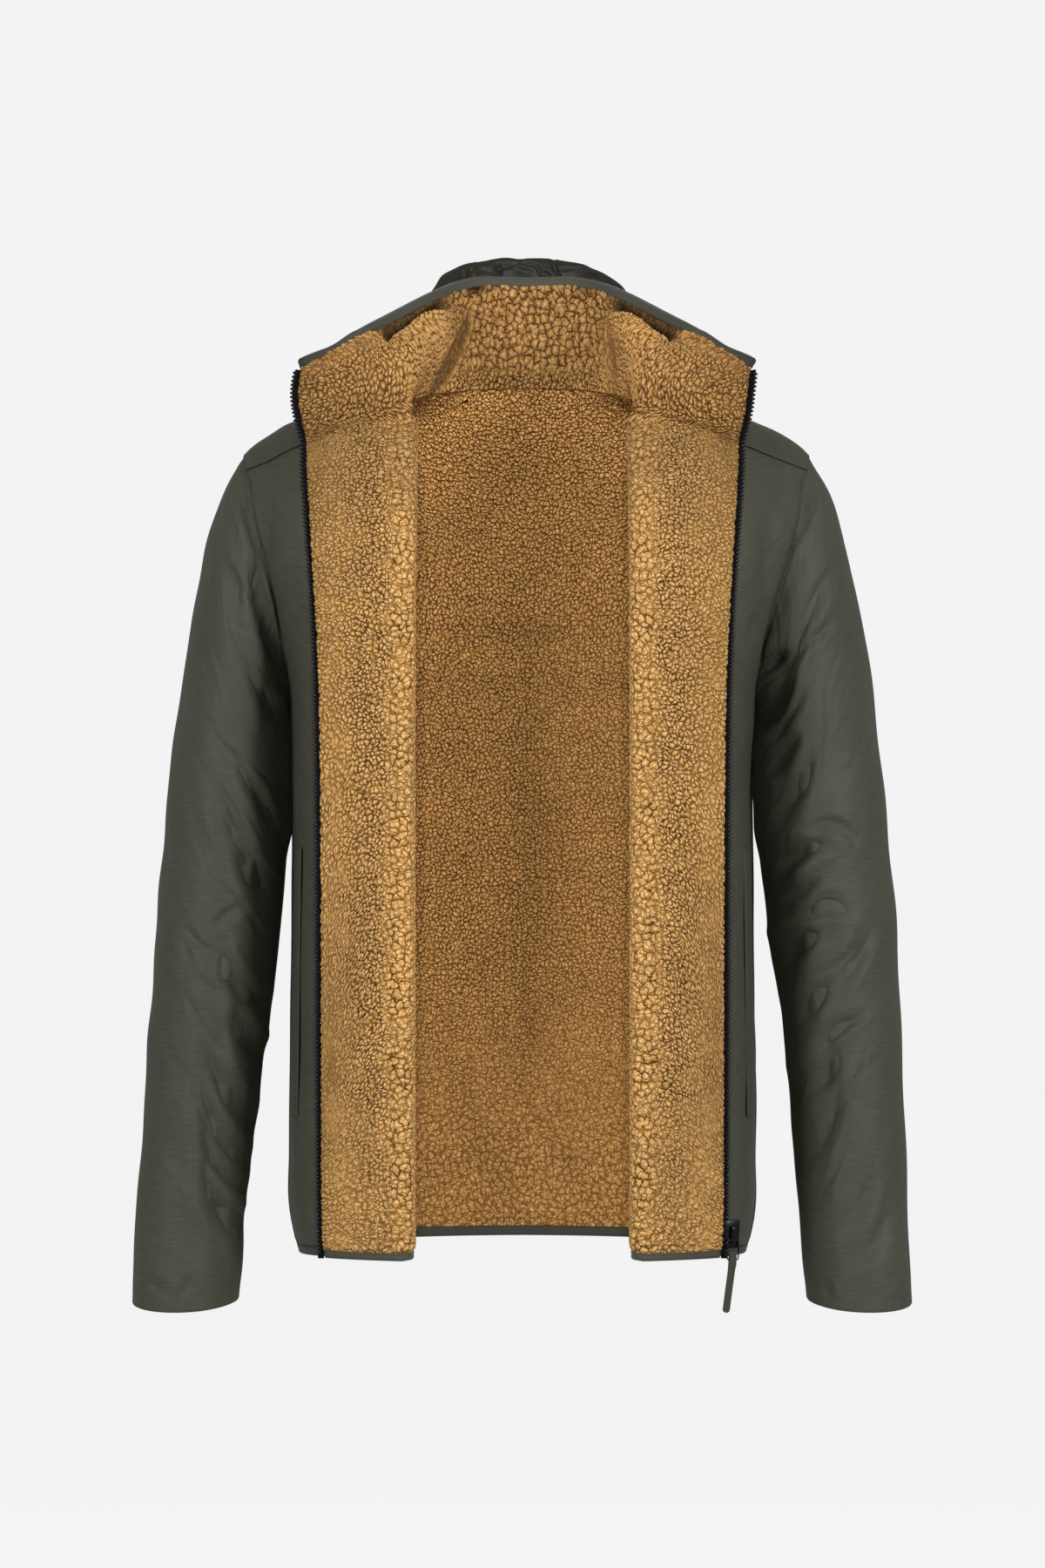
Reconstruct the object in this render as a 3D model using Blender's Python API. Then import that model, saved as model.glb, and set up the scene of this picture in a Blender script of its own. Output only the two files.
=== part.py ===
"""A zip-through jacket with a pile lining, worn open with its fronts turned back.

Everything is in millimetres until the last step. +X is the wearer's left, +Y the wearer's back and +Z up.
The origin is the middle of the neck, on the line of the shoulders.
"""

import math

import bmesh
import bpy
import numpy as np

MM = 0.001

# Cloth
SHELL = 1.5  # woven shell with its light padding
PILE = 6.0  # pile lining at its full height
PILE_AT_EDGE = 0.55  # share of that height left where the pile meets a seam
SLEEVE_WALL = 2.2
SEAM = 0.6  # clear space between two pieces that are sewn together
SKIN_GAP = 0.3  # clear space between the shell and its lining

# Body
SQUARENESS = 2.3  # exponent of the body's horizontal sections; 2 is an ellipse
HEM_FRONT, HEM_SIDE, HEM_BACK = -647.0, -652.0, -650.0
BINDING_HEIGHT = 6.0
NAPE_Z = 29.0

# height, half width, depth in front of the shoulder line, depth behind it
TORSO = (
    (-664.0, 165.0, 133.0, 133.0),
    (-652.0, 174.5, 138.0, 138.0),
    (-640.0, 179.5, 142.0, 142.0),
    (-620.0, 183.0, 146.0, 146.0),
    (-580.0, 182.5, 148.0, 148.0),
    (-500.0, 181.0, 148.0, 146.0),
    (-420.0, 179.5, 147.0, 142.0),
    (-330.0, 179.0, 146.0, 141.0),
    (-250.0, 179.5, 147.0, 144.0),
    (-218.0, 182.0, 147.0, 147.0),
    (-190.0, 192.0, 146.0, 149.0),
    (-150.0, 208.0, 144.0, 150.0),
    (-122.0, 219.0, 139.0, 149.0),
    (-85.0, 229.0, 126.0, 144.0),
    (-60.0, 227.0, 110.0, 138.0),
    (-36.0, 219.0, 88.0, 128.0),
    (-27.0, 209.0, 76.0, 123.0),
    (-14.0, 186.0, 57.0, 115.0),
    (0.0, 148.0, 34.0, 108.0),
    (10.0, 114.0, 14.0, 104.0),
    (18.0, 88.0, 9.0, 102.0),
    (36.0, 84.0, 7.0, 99.0),
)

# Armhole, seen from the side
ARMHOLE_TOP, ARMHOLE_BOTTOM = -36.0, -218.0
ARMHOLE_FRONT, ARMHOLE_BACK = 66.0, 73.0
SHOULDER_FRONT_ANGLE = 31.0  # where the forward shoulder seam meets the armhole

# forward shoulder seam: distance from the centre, height
SHOULDER_SEAM = ((92.0, -9.0), (120.0, -16.0), (174.0, -32.0), (202.0, -44.0), (217.1, -49.0))

# neck seam of the back: angle round the body, height
NECK_SEAM = ((90.0, 17.5), (135.0, 25.0), (180.0, NAPE_Z))

# Share of the way up a panel at which its outer edge reaches the armhole, and then the shoulder
ROW_ARMPIT, ROW_SHOULDER = 0.56, 0.84

# Turned-back front
FOLD_X = 91.0
FOLD_RADIUS = 4.6
NECK_AT_FOLD = -19.0
FOLD_FROM, FOLD_TO = 0.40, 0.52  # shares of the way across the front where the fold starts and ends

# free edge of the turned-back front: share of the way up, x, y, height
ZIP_EDGE = (
    (0.0, 150.0, -120.0, -646.0),
    (0.28, 151.5, -126.0, -488.0),
    (0.56, 152.5, -127.0, -236.0),
    (0.70, 155.0, -122.0, -160.0),
    (0.84, 160.0, -113.0, -92.0),
    (1.0, 166.0, -99.0, -34.0),
)

# Collar, from the nape to the zip: share of the way round, then the points that its height
# passes through: the roll, the dip behind the roll and the bound edge, as x, y, height
COLLAR = (
    (0.00, (0.0, 104.0, 72.0), (0.0, 107.0, 93.0), (0.0, 107.0, 105.0)),
    (0.08, (43.0, 97.0, 72.0), (43.0, 100.0, 92.0), (42.0, 101.5, 104.5)),
    (0.13, (61.0, 80.0, 72.0), (61.0, 85.0, 88.0), (61.0, 87.0, 99.0)),
    (0.18, (72.0, 56.0, 69.0), (74.0, 62.0, 80.0), (75.0, 67.0, 91.0)),
    (0.24, (77.0, 28.0, 63.0), (83.0, 38.0, 67.0), (88.5, 44.0, 82.0)),
    (0.30, (84.0, -2.0, 54.0), (93.0, 15.0, 53.0), (99.0, 25.0, 75.0)),
    (0.36, (96.0, -38.0, 44.0), (108.0, -22.0, 42.0), (118.0, -14.0, 61.0)),
    (0.40, (102.0, -52.0, 40.0), (113.0, -38.0, 43.0), (125.0, -27.0, 55.5)),
    (0.52, (112.0, -68.0, 31.0), (122.0, -55.0, 40.0), (133.0, -42.0, 50.0)),
    (0.70, (131.0, -83.0, 16.0), (139.0, -73.0, 31.0), (147.0, -61.0, 39.0)),
    (1.00, (170.5, -93.0, -6.0), (172.5, -88.0, 13.0), (173.0, -84.0, 26.5)),
)
# share of the way round where the neck seam passes the side, the shoulder seam, the fold's start and its end
NECK_SIDE, NECK_SHOULDER, NECK_FOLD, NECK_LAPEL = 0.30, 0.36, 0.40, 0.52

# Puffed roll of shell behind the binding at the back of the collar: half its length as a share of the way
# round the collar, its rise above the binding, and its section as depth and height
ROLL_TO, ROLL_RISE, ROLL_CLEAR = 0.18, 17.0, 2.2
ROLL_SECTION = (
    (0.0, -4.0),
    (0.1, 3.0),
    (1.2, 15.0),
    (4.0, 22.5),
    (8.0, 25.0),
    (12.0, 20.0),
    (13.0, 9.0),
    (10.0, -5.0),
    (5.0, -16.0),
    (0.0, -25.0),
)

# Sleeve sections below the armhole: outer x and height, inner x and height, half depth, centre y
SLEEVE = (
    (234.0, -61.0, 183.8, -223.0, 68.0, -2.0),
    (246.0, -97.0, 184.6, -230.0, 71.0, -1.0),
    (256.5, -140.0, 183.0, -241.0, 72.0, 0.0),
    (266.5, -195.0, 182.2, -258.0, 71.0, 0.0),
    (274.5, -255.0, 182.2, -290.0, 68.0, -1.0),
    (281.0, -320.0, 183.4, -335.0, 65.0, -4.0),
    (287.5, -400.0, 190.4, -405.0, 60.0, -9.0),
    (292.5, -480.0, 200.0, -480.0, 56.0, -14.0),
    (297.0, -570.0, 209.4, -565.0, 51.0, -20.0),
    (300.0, -640.0, 216.0, -633.0, 46.0, -25.0),
    (302.4, -693.0, 220.0, -690.0, 43.0, -28.0),
)
CUFF_DIP = 6.0  # how much lower the cuff hangs in front

# The sleeves and the collar lean a little to the wearer's left
LEAN, LEAN_FROM, LEAN_TO = 3.0, -620.0, -430.0
COLLAR_LEAN = 5.0

# Creases of a sleeve: angle and share of the way down at each end, depth, half width
RIGHT_CREASES = (
    (118.0, 0.42, 165.0, 0.47, 5.0, 13.0),
    (100.0, 0.53, 160.0, 0.58, 4.5, 14.0),
    (70.0, 0.60, 150.0, 0.67, 4.0, 14.0),
    (105.0, 0.78, 158.0, 0.74, 4.0, 15.0),
    (40.0, 0.12, 100.0, 0.24, 4.0, 12.0),
    (75.0, 0.20, 125.0, 0.36, 4.0, 12.0),
    (215.0, 0.45, 262.0, 0.50, 4.5, 15.0),
    (218.0, 0.58, 280.0, 0.62, 4.0, 15.0),
)
LEFT_CREASES = (
    (110.0, 0.43, 162.0, 0.46, 6.0, 13.0),
    (85.0, 0.49, 150.0, 0.53, 5.0, 13.0),
    (98.0, 0.58, 158.0, 0.55, 5.5, 13.0),
    (80.0, 0.66, 155.0, 0.64, 4.5, 14.0),
    (45.0, 0.10, 95.0, 0.22, 4.5, 11.0),
    (60.0, 0.24, 135.0, 0.33, 4.0, 13.0),
    (212.0, 0.47, 266.0, 0.52, 4.5, 15.0),
    (216.0, 0.60, 275.0, 0.63, 4.0, 15.0),
)

# Zip and bindings: sections as distance out from the edge of the cloth and depth under its outer face
MID_DEPTH = 2.6
ZIP_SECTION = (
    (0.35, 2.0),
    (3.6, 2.0),
    (3.6, 1.1),
    (6.8, 1.1),
    (6.8, 4.1),
    (3.6, 4.1),
    (3.6, 3.2),
    (0.35, 3.2),
)
CHAIN_CENTRE = 5.2
ZIP_TOP = 0.92  # share of the way up the collar where the zip ends
BINDING_SECTION = ((0.8, -1.0), (0.8, 6.2), (5.0, 6.4), (7.0, 4.4), (7.0, 1.2), (5.2, -1.2))
HEM_SECTION = ((0.4, -0.8), (0.4, 5.8), (4.6, 6.0), (6.4, 4.2), (6.4, 1.2), (4.6, -1.0))

# Slider, in its own axes: u away from the cloth, v towards the wearer's front, w up the zip
SLIDER_UP = 0.0215  # share of the way up the front
SLIDER_HALF_LENGTH = 10.5
SLIDER_SECTION = (
    (-3.4, 2.3),
    (-3.0, 4.2),
    (7.2, 4.2),
    (7.8, 2.3),
    (3.9, 2.3),
    (3.9, -2.3),
    (7.8, -2.3),
    (7.2, -4.2),
    (-3.0, -4.2),
    (-3.4, -2.3),
    (2.7, -2.3),
    (2.7, 2.3),
)
SLIDER_FLARE = 1.18
BRIDGE_PROFILE = (
    (-7.0, 0.0),
    (-7.0, 2.2),
    (-5.6, 3.4),
    (5.6, 3.4),
    (7.0, 2.2),
    (7.0, 0.0),
    (5.8, 0.0),
    (5.8, 1.7),
    (5.0, 2.3),
    (-5.0, 2.3),
    (-5.8, 1.7),
    (-5.8, 0.0),
)
BRIDGE_BASE, BRIDGE_MIDDLE, BRIDGE_HALF_WIDTH = 4.35, 2.4, 1.6
LINK_TOP, LINK_BOTTOM, LINK_HALF_WIDTH, LINK_LIFT, LINK_WIRE = -3.9, -19.5, 4.6, 5.5, 0.7
PULL_LENGTH, PULL_HALF_WIDTH, PULL_SLANT = 40.0, 2.7, 7.3
# half of the folded tape's outline, as distance from its middle and distance below the link
PULL_OUTSIDE = ((0.0, 2.1), (1.5, 1.5), (2.1, 0.0), (1.9, -3.0), (1.15, -8.0))
PULL_INSIDE = ((0.0, 1.25), (0.9, 0.9), (1.25, 0.0), (1.0, -3.0), (0.15, -7.0))

# Pocket welts
POCKET_FROM, POCKET_TO = 0.133, 0.401  # shares of the way up the front
POCKET_ACROSS = (0.08, 0.125)  # shares of the way across it
WELT_THICKNESS = 1.2


def share(value, low, high):
    """How far value is from low to high, from 0 to 1, eased at both ends."""
    t = min(1.0, max(0.0, (value - low) / (high - low)))
    return t * t * (3.0 - 2.0 * t)


class Track:
    """A smooth curve through the rows of a table, read at any place along the first column."""

    def __init__(self, rows):
        self.places = np.array([row[0] for row in rows], float)
        self.values = np.array([np.ravel(np.array(row[1:], float)) for row in rows])
        steps = np.diff(self.places)[:, None]
        slopes = np.diff(self.values, axis=0) / steps
        before, after = slopes[:-1], slopes[1:]
        middle = (before * steps[1:] + after * steps[:-1]) / (steps[1:] + steps[:-1])
        self.slopes = np.vstack([slopes[:1], middle, slopes[-1:]])

    def __call__(self, place):
        i = int(np.clip(np.searchsorted(self.places, place) - 1, 0, len(self.places) - 2))
        step = self.places[i + 1] - self.places[i]
        t = min(1.0, max(0.0, (place - self.places[i]) / step))
        start, end = self.values[i], self.values[i + 1]
        leave, arrive = self.slopes[i] * step, self.slopes[i + 1] * step
        rise = 3 * t**2 - 2 * t**3
        value = start * (1 - rise) + end * rise + leave * (t**3 - 2 * t**2 + t) + arrive * (t**3 - t**2)
        return value if len(value) > 1 else float(value[0])


def through(points, t):
    """A point on the smooth curve through a few points, from 0 at the first to 1 at the last."""
    points = np.asarray(points, float)
    last = len(points) - 1
    chords = np.diff(points, axis=0)
    lengths = np.maximum(np.linalg.norm(chords, axis=1), 1e-6)
    i = min(last - 1, max(0, int(t * last)))
    f = t * last - i

    def heading(k):
        if k == 0 or k == last:
            return chords[min(k, last - 1)] / lengths[min(k, last - 1)]
        near, far = lengths[k - 1], lengths[k]
        return (chords[k - 1] / near * far + chords[k] / far * near) / (near + far)

    leave, arrive = heading(i) * lengths[i], heading(i + 1) * lengths[i]
    rise = 3 * f**2 - 2 * f**3
    value = points[i] * (1 - rise) + points[i + 1] * rise
    return value + leave * (f**3 - 2 * f**2 + f) + arrive * (f**3 - f**2)


torso = Track(TORSO)
shoulder_seam = Track(SHOULDER_SEAM)
neck_seam = Track(NECK_SEAM)
zip_edge = Track(ZIP_EDGE)
collar_heights = Track(COLLAR)


def body_point(angle, z):
    """A point on the outside of the body. The angle runs from 0 in front over 90 at the side to 180 behind."""
    width, front, back = torso(z)
    turn = math.radians(angle)
    power = 2.0 / SQUARENESS
    x = width * max(0.0, math.sin(turn)) ** power
    depth = abs(math.cos(turn)) ** power
    return np.array([x, -front * depth if angle < 90.0 else back * depth, z])


def angle_at_x(x, z):
    """The angle in front of the side at which the body is x wide."""
    return math.degrees(math.asin(min(1.0, x / torso(z)[0]) ** (SQUARENESS / 2.0)))


def angle_at_depth(y, z):
    """The angle at which the body is y deep."""
    _, front, back = torso(z)
    lean = min(1.0, abs(y) / (front if y < 0 else back)) ** (SQUARENESS / 2.0)
    turn = math.degrees(math.acos(lean))
    return turn if y < 0 else 180.0 - turn


def armhole(turn):
    """Angle round the body and height of the armhole. turn runs from 0 at its top over 90 in front."""
    middle, half = (ARMHOLE_TOP + ARMHOLE_BOTTOM) / 2, (ARMHOLE_TOP - ARMHOLE_BOTTOM) / 2
    side = math.sin(math.radians(turn))
    z = middle + half * math.cos(math.radians(turn))
    return angle_at_depth(-side * (ARMHOLE_FRONT if side > 0 else ARMHOLE_BACK), z), z


def front_outer_edge(up):
    """Side seam, front of the armhole and forward shoulder seam, as angle and height."""
    if up <= ROW_ARMPIT:
        return 90.0, HEM_SIDE + (ARMHOLE_BOTTOM - HEM_SIDE) * up / ROW_ARMPIT
    if up <= ROW_SHOULDER:
        t = (up - ROW_ARMPIT) / (ROW_SHOULDER - ROW_ARMPIT)
        return armhole(180.0 + (SHOULDER_FRONT_ANGLE - 180.0) * t)
    t = (up - ROW_SHOULDER) / (1.0 - ROW_SHOULDER)
    x = SHOULDER_SEAM[-1][0] + (SHOULDER_SEAM[0][0] - SHOULDER_SEAM[-1][0]) * t
    z = shoulder_seam(x)
    return angle_at_x(x, z), z


fold_height = Track(((0.0, HEM_FRONT), (ROW_ARMPIT, -236.0), (ROW_SHOULDER, -84.0), (1.0, NECK_AT_FOLD)))
back_height = Track(((0.0, HEM_BACK), (ROW_ARMPIT, -228.0), (ROW_SHOULDER, -72.0), (1.0, NAPE_Z)))


def front(across, up):
    """The outside of a front's shell, from the side seam round the fold to the zip."""
    z = fold_height(up)
    angle = angle_at_x(FOLD_X, z)
    if across <= FOLD_FROM:
        t = across / FOLD_FROM
        outer_angle, outer_z = front_outer_edge(up)
        return body_point(outer_angle + (angle - outer_angle) * t, outer_z + (z - outer_z) * t)
    start = body_point(angle, z)
    inward = body_point(angle - 2.0, z) - start
    inward[2] = 0.0
    inward /= np.linalg.norm(inward)
    forward = np.array([-inward[1], inward[0], 0.0])
    if forward[1] > 0:
        forward = -forward
    if across <= FOLD_TO:
        turn = math.pi * (across - FOLD_FROM) / (FOLD_TO - FOLD_FROM)
        return start + FOLD_RADIUS * (forward * (1 - math.cos(turn)) + inward * math.sin(turn))
    t = (across - FOLD_TO) / (1 - FOLD_TO)
    end = start + 2 * FOLD_RADIUS * forward
    edge = zip_edge(up)
    bend = end - inward * 0.45 * np.linalg.norm(edge - end)
    return end * (1 - t) ** 2 + bend * 2 * t * (1 - t) + edge * t**2


def back(across, up):
    """The outside of half the back's shell, from the side seam to the centre."""
    if up <= ROW_ARMPIT:
        outer = (90.0, HEM_SIDE + (ARMHOLE_BOTTOM - HEM_SIDE) * up / ROW_ARMPIT)
    elif up <= ROW_SHOULDER:
        outer = armhole(180.0 + 180.0 * (up - ROW_ARMPIT) / (ROW_SHOULDER - ROW_ARMPIT))
    else:
        t = (up - ROW_SHOULDER) / (1 - ROW_SHOULDER)
        outer = (90.0, ARMHOLE_TOP + (neck_seam(90.0) - ARMHOLE_TOP) * t**0.8)
    angle = outer[0] + (180.0 - outer[0]) * across
    level = outer[1] + (back_height(up) - outer[1]) * across
    if up > ROW_SHOULDER:
        arch = (up - ROW_SHOULDER) / (1 - ROW_SHOULDER)
        along_seam = neck_seam(angle) - (neck_seam(90.0) + (NAPE_Z - neck_seam(90.0)) * across)
        level += along_seam * arch
    return body_point(angle, level)


def shoulder(forward, up):
    """The part of the back that comes over the shoulder, from its ridge to the forward seam."""
    t = (up - ROW_SHOULDER) / (1 - ROW_SHOULDER)
    if t <= 0.0:
        return body_point(*armhole(SHOULDER_FRONT_ANGLE * forward))
    ridge_z = ARMHOLE_TOP + (neck_seam(90.0) - ARMHOLE_TOP) * t**0.8
    if forward <= 0.0:
        return body_point(90.0, ridge_z)
    ridge_x = torso(ridge_z)[0]
    seam_x = SHOULDER_SEAM[-1][0] + (SHOULDER_SEAM[0][0] - SHOULDER_SEAM[-1][0]) * t
    z = ridge_z + (shoulder_seam(seam_x) - ridge_z) * forward + 12.8 * forward * (1 - forward) * (1 - t)
    x = ridge_x + (seam_x - ridge_x) * forward
    return body_point(angle_at_x(x, z), z)


def unit(vector):
    return vector / max(1e-9, np.linalg.norm(vector))


def facing(surface, s, t, step=0.004):
    """The direction square to a surface, on the side that its two directions turn towards."""
    s0, s1 = max(0.0, s - step), min(1.0, s + step)
    t0, t1 = max(0.0, t - step), min(1.0, t + step)
    return unit(np.cross(surface(s, t1) - surface(s, t0), surface(s1, t) - surface(s0, t)))


def body_facing(point):
    """The outward direction of the body at a point on it."""
    z = point[2]
    across = abs(point[0]) / torso(z)[0]
    angle = math.degrees(math.asin(min(1.0, across) ** (SQUARENESS / 2.0)))
    angle = angle if point[1] < 0 else 180.0 - angle
    along = body_point(angle + 1.5, z) - body_point(angle - 1.5, z)
    upward = body_point(angle, z + 1.0) - body_point(angle, z - 1.0)
    return unit(np.cross(along, upward))


def front_facing(across, up):
    if across < FOLD_FROM:
        return body_facing(front(across, up))
    return facing(front, across, up)


def back_facing(across, up):
    outward = body_facing(back(across, up))
    return unit(outward * (0.0, 1.0, 1.0)) if across >= 1.0 else outward


def neck(around):
    """The neck seam and its outward direction, from the nape round the neck and along the lapel to the zip."""
    if around <= NECK_SIDE:
        across = 1.0 - around / NECK_SIDE
        return back(across, 1.0), back_facing(across, 1.0)
    if around <= NECK_SHOULDER:
        point = shoulder((around - NECK_SIDE) / (NECK_SHOULDER - NECK_SIDE), 1.0)
        return point, body_facing(point)
    if around <= NECK_FOLD:
        across = FOLD_FROM * (around - NECK_SHOULDER) / (NECK_FOLD - NECK_SHOULDER)
    elif around <= NECK_LAPEL:
        across = FOLD_FROM + (FOLD_TO - FOLD_FROM) * (around - NECK_FOLD) / (NECK_LAPEL - NECK_FOLD)
    else:
        across = FOLD_TO + (1.0 - FOLD_TO) * (around - NECK_LAPEL) / (1.0 - NECK_LAPEL)
    return front(across, 1.0), front_facing(across, 1.0)


def collar(around, up):
    """The outside of the collar's shell, from the nape to the zip and from the neck seam to the bound edge."""
    base = neck(around)[0]
    roll, dip, edge = collar_heights(around).reshape(3, 3)
    return through((base, roll, dip, edge), up)


def collar_facing(around, up):
    seam = neck(around)[1]
    if up <= 0.0:
        return seam
    own = facing(collar, around, up)
    if around <= 0.0:
        own = unit(own * (0.0, 1.0, 1.0))
    hold = 1.0 - share(up, 0.0, 0.2)
    return unit(own * (1.0 - hold) + seam * hold)


def sleeve_ring(turn, row):
    """A point of one of the sleeve's sections."""
    outer_x, outer_z, inner_x, inner_z, half_depth, middle_y = row
    turn = math.radians(turn)
    t = 0.5 + 0.5 * math.cos(turn)
    y = middle_y - half_depth * math.copysign(abs(math.sin(turn)) ** 0.92, math.sin(turn))
    return np.array([inner_x + (outer_x - inner_x) * t, y, inner_z + (outer_z - inner_z) * t])


def sleeve(turn, down):
    """The outside of a sleeve, from the armhole to the cuff."""
    points = [body_point(*armhole(turn % 360.0))] + [sleeve_ring(turn, row) for row in SLEEVE]
    point = through(points, down)
    point[2] -= CUFF_DIP * math.sin(math.radians(turn)) * share(down, 0.8, 1.0)
    return point


def creased(turn, down, creases):
    """How far a sleeve's creases press its surface in."""
    depth, turn = 0.0, turn % 360.0
    for turn_a, down_a, turn_b, down_b, deep, half_width in creases:
        start, end = np.array([turn_a * 0.95, down_a * 640.0]), np.array([turn_b * 0.95, down_b * 640.0])
        here = np.array([turn * 0.95, down * 640.0])
        along = end - start
        t = float(np.dot(here - start, along) / np.dot(along, along))
        away = np.linalg.norm(here - start - along * min(1.0, max(0.0, t)))
        ends = share(t, -0.25, 0.3) * (1.0 - share(t, 0.7, 1.25))
        depth += deep * ends * math.exp(-((away / half_width) ** 2))
    return depth


def sleeve_facing(turn, down):
    own = unit(
        np.cross(
            sleeve(turn + 2.0, down) - sleeve(turn - 2.0, down),
            sleeve(turn, min(1.0, down + 0.01)) - sleeve(turn, max(0.0, down - 0.01)),
        )
    )
    if down <= 0.0:
        seam = body_facing(sleeve(turn, 0.0))
        follow = share(float(np.dot(own, seam)), 0.0, 0.7)
        own = unit(own * (1.0 - follow) + seam * follow)
    return own


def settle(point):
    """Where a point ends up once the garment has settled unevenly on its wearer."""
    x, y, z = point
    x += LEAN * share(z, LEAN_FROM, LEAN_TO) * share(abs(point[0]), 181.0, 200.0)
    x += COLLAR_LEAN * share(z, 0.0, 50.0) * (1.0 - share(z, 100.0, 125.0))
    return x, y, z


class Sheet:
    """Points of a cloth surface with the direction each one faces, joined by triangles."""

    def __init__(self):
        self.points, self.facings, self.faces = [], [], []
        self.known = {}

    def add(self, rows, mirror=False):
        """Adds rows of (point, facing) pairs; points that another block already has are shared."""
        flip = np.array([-1.0 if mirror else 1.0, 1.0, 1.0])
        index = [[self.vertex(point * flip, out * flip) for point, out in row] for row in rows]
        middle, side = len(rows) // 2 - 1, len(rows[0]) // 2 - 1
        a, b, c = index[middle][side], index[middle][side + 1], index[middle + 1][side]
        turn = np.cross(self.points[b] - self.points[a], self.points[c] - self.points[a])
        forwards = np.dot(turn, self.facings[a]) > 0
        for lower, upper in zip(index, index[1:]):
            for i in range(len(lower) - 1):
                a, b, c, d = lower[i], lower[i + 1], upper[i + 1], upper[i]
                for face in ([a, b, c], [a, c, d]):
                    if len(set(face)) == 3:
                        self.faces.append(face if forwards else face[::-1])
        return self

    def vertex(self, point, out):
        key = tuple(np.round(point, 3) + 0.0)
        if key not in self.known:
            self.known[key] = len(self.points)
            self.points.append(np.array(point, float))
            self.facings.append(np.array(out, float))
        return self.known[key]

    def rim(self):
        """The edges that only one face has, in that face's order."""
        sides = {}
        for face in self.faces:
            for a, b in zip(face, face[1:] + face[:1]):
                sides[(a, b)] = face
        return [(a, b) for (a, b) in sides if (b, a) not in sides]

    def trimmed(self, gap):
        """Draws the rim in by half a seam's gap, so that neighbouring pieces stay clear."""
        pull = {}
        for a, b in self.rim():
            along = unit(self.points[b] - self.points[a])
            for end in (a, b):
                pull.setdefault(end, []).append(unit(np.cross(self.facings[end], along)))
        for i, directions in pull.items():
            total = np.sum(directions, axis=0)
            middle = unit(total)
            spread = max(0.5, float(np.mean([np.dot(middle, d) for d in directions])))
            self.points[i] = self.points[i] + middle * (gap / 2 / spread)
        return self


def colour_of(hex_code):
    """Linear colour from a hexadecimal sRGB code."""
    values = [int(hex_code[i : i + 2], 16) / 255 for i in (0, 2, 4)]
    return [v / 12.92 if v <= 0.04045 else ((v + 0.055) / 1.055) ** 2.4 for v in values] + [1.0]


# Both pieces at a seam split a twisted face along the same diagonal, so they stay clear of each other
SPLIT_TOWARDS = np.array([0.3, 0.5, 1.0])

FINISHES = {
    "shell": ("olive nylon shell", "46463D", 0.0, 0.55),
    "pile": ("tan pile lining", "9C7442", 0.0, 0.95),
    "binding": ("grey green binding", "45463E", 0.0, 0.7),
    "zip": ("black zip", "17181A", 0.0, 0.45),
    "metal": ("black enamelled metal", "111214", 0.4, 0.35),
}


def make(name, points, faces, finish, origin=(0.0, 0.0, 0.0)):
    """One object in metres, with its own material and its origin at a point of the jacket."""
    title, hex_code, metallic, roughness = FINISHES[finish]
    origin = np.array(settle(origin))
    mesh = bpy.data.meshes.new(name)
    mesh.from_pydata([tuple((np.array(settle(p)) - origin) * MM) for p in points], [], [tuple(f) for f in faces])
    work = bmesh.new()
    work.from_mesh(mesh)
    bmesh.ops.remove_doubles(work, verts=work.verts, dist=1e-7)
    bmesh.ops.recalc_face_normals(work, faces=work.faces)
    work.to_mesh(mesh)
    work.free()
    item = bpy.data.objects.new(name, mesh)
    item.location = origin * MM
    bpy.context.scene.collection.objects.link(item)
    material = bpy.data.materials.new(f"{title} {name}")
    material.use_nodes = True
    shader = material.node_tree.nodes["Principled BSDF"]
    shader.inputs["Base Color"].default_value = colour_of(hex_code)
    shader.inputs["Metallic"].default_value = metallic
    shader.inputs["Roughness"].default_value = roughness
    mesh.materials.append(material)
    return item


def cloth(name, sheet, outer, inner, finish, at_rim=1.0):
    """A closed wall between two depths under a sheet; at_rim is the share of its thickness left at the rim."""
    points, facings = np.array(sheet.points), np.array(sheet.facings)
    rim = sheet.rim()
    depth = np.full(len(points), inner)
    depth[sorted({a for a, _ in rim})] = outer + (inner - outer) * at_rim
    count = len(points)
    upper, lower = points - facings * outer, points - facings * depth[:, None]
    faces = [list(f) for f in sheet.faces]
    faces += [[v + count for v in reversed(f)] for f in sheet.faces]
    for a, b in rim:
        if SPLIT_TOWARDS.dot(points[a] - points[b]) > 0:
            faces += [[b, a, b + count], [a, a + count, b + count]]
        else:
            faces += [[b, a, a + count], [b, a + count, b + count]]
    return make(name, list(upper) + list(lower), faces, finish)


def sweep(name, stations, section, finish):
    """A closed bar along stations of (point, across, along-the-depth), with the section given in those two."""
    points, faces, size = [], [], len(section)
    for point, across, depth in stations:
        points += [point + across * a + depth * b for a, b in section]
    for i in range(len(stations) - 1):
        earlier = SPLIT_TOWARDS.dot(stations[i][0] - stations[i + 1][0]) > 0
        for k in range(size):
            a, b = i * size + k, i * size + (k + 1) % size
            if earlier:
                faces += [[a, b, b + size], [a, b + size, a + size]]
            else:
                faces += [[a, b, a + size], [b, b + size, a + size]]
    faces.append(list(range(size))[::-1])
    faces.append([len(points) - size + k for k in range(size)])
    return make(name, points, faces, finish)


def extruded(name, outline, place, half_width, finish, end_scale=1.0, origin=(0.0, 0.0, 0.0)):
    """A closed outline drawn out to both sides of its plane. place turns local points into points of the jacket."""
    size = len(outline)
    near = [place(u, v, -half_width) for u, v in outline]
    far = [place(u * end_scale, v, half_width) for u, v in outline]
    faces = [[k, (k + 1) % size, size + (k + 1) % size, size + k] for k in range(size)]
    faces += [list(range(size))[::-1], [size + k for k in range(size)]]
    return make(name, near + far, faces, finish, origin)


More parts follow.
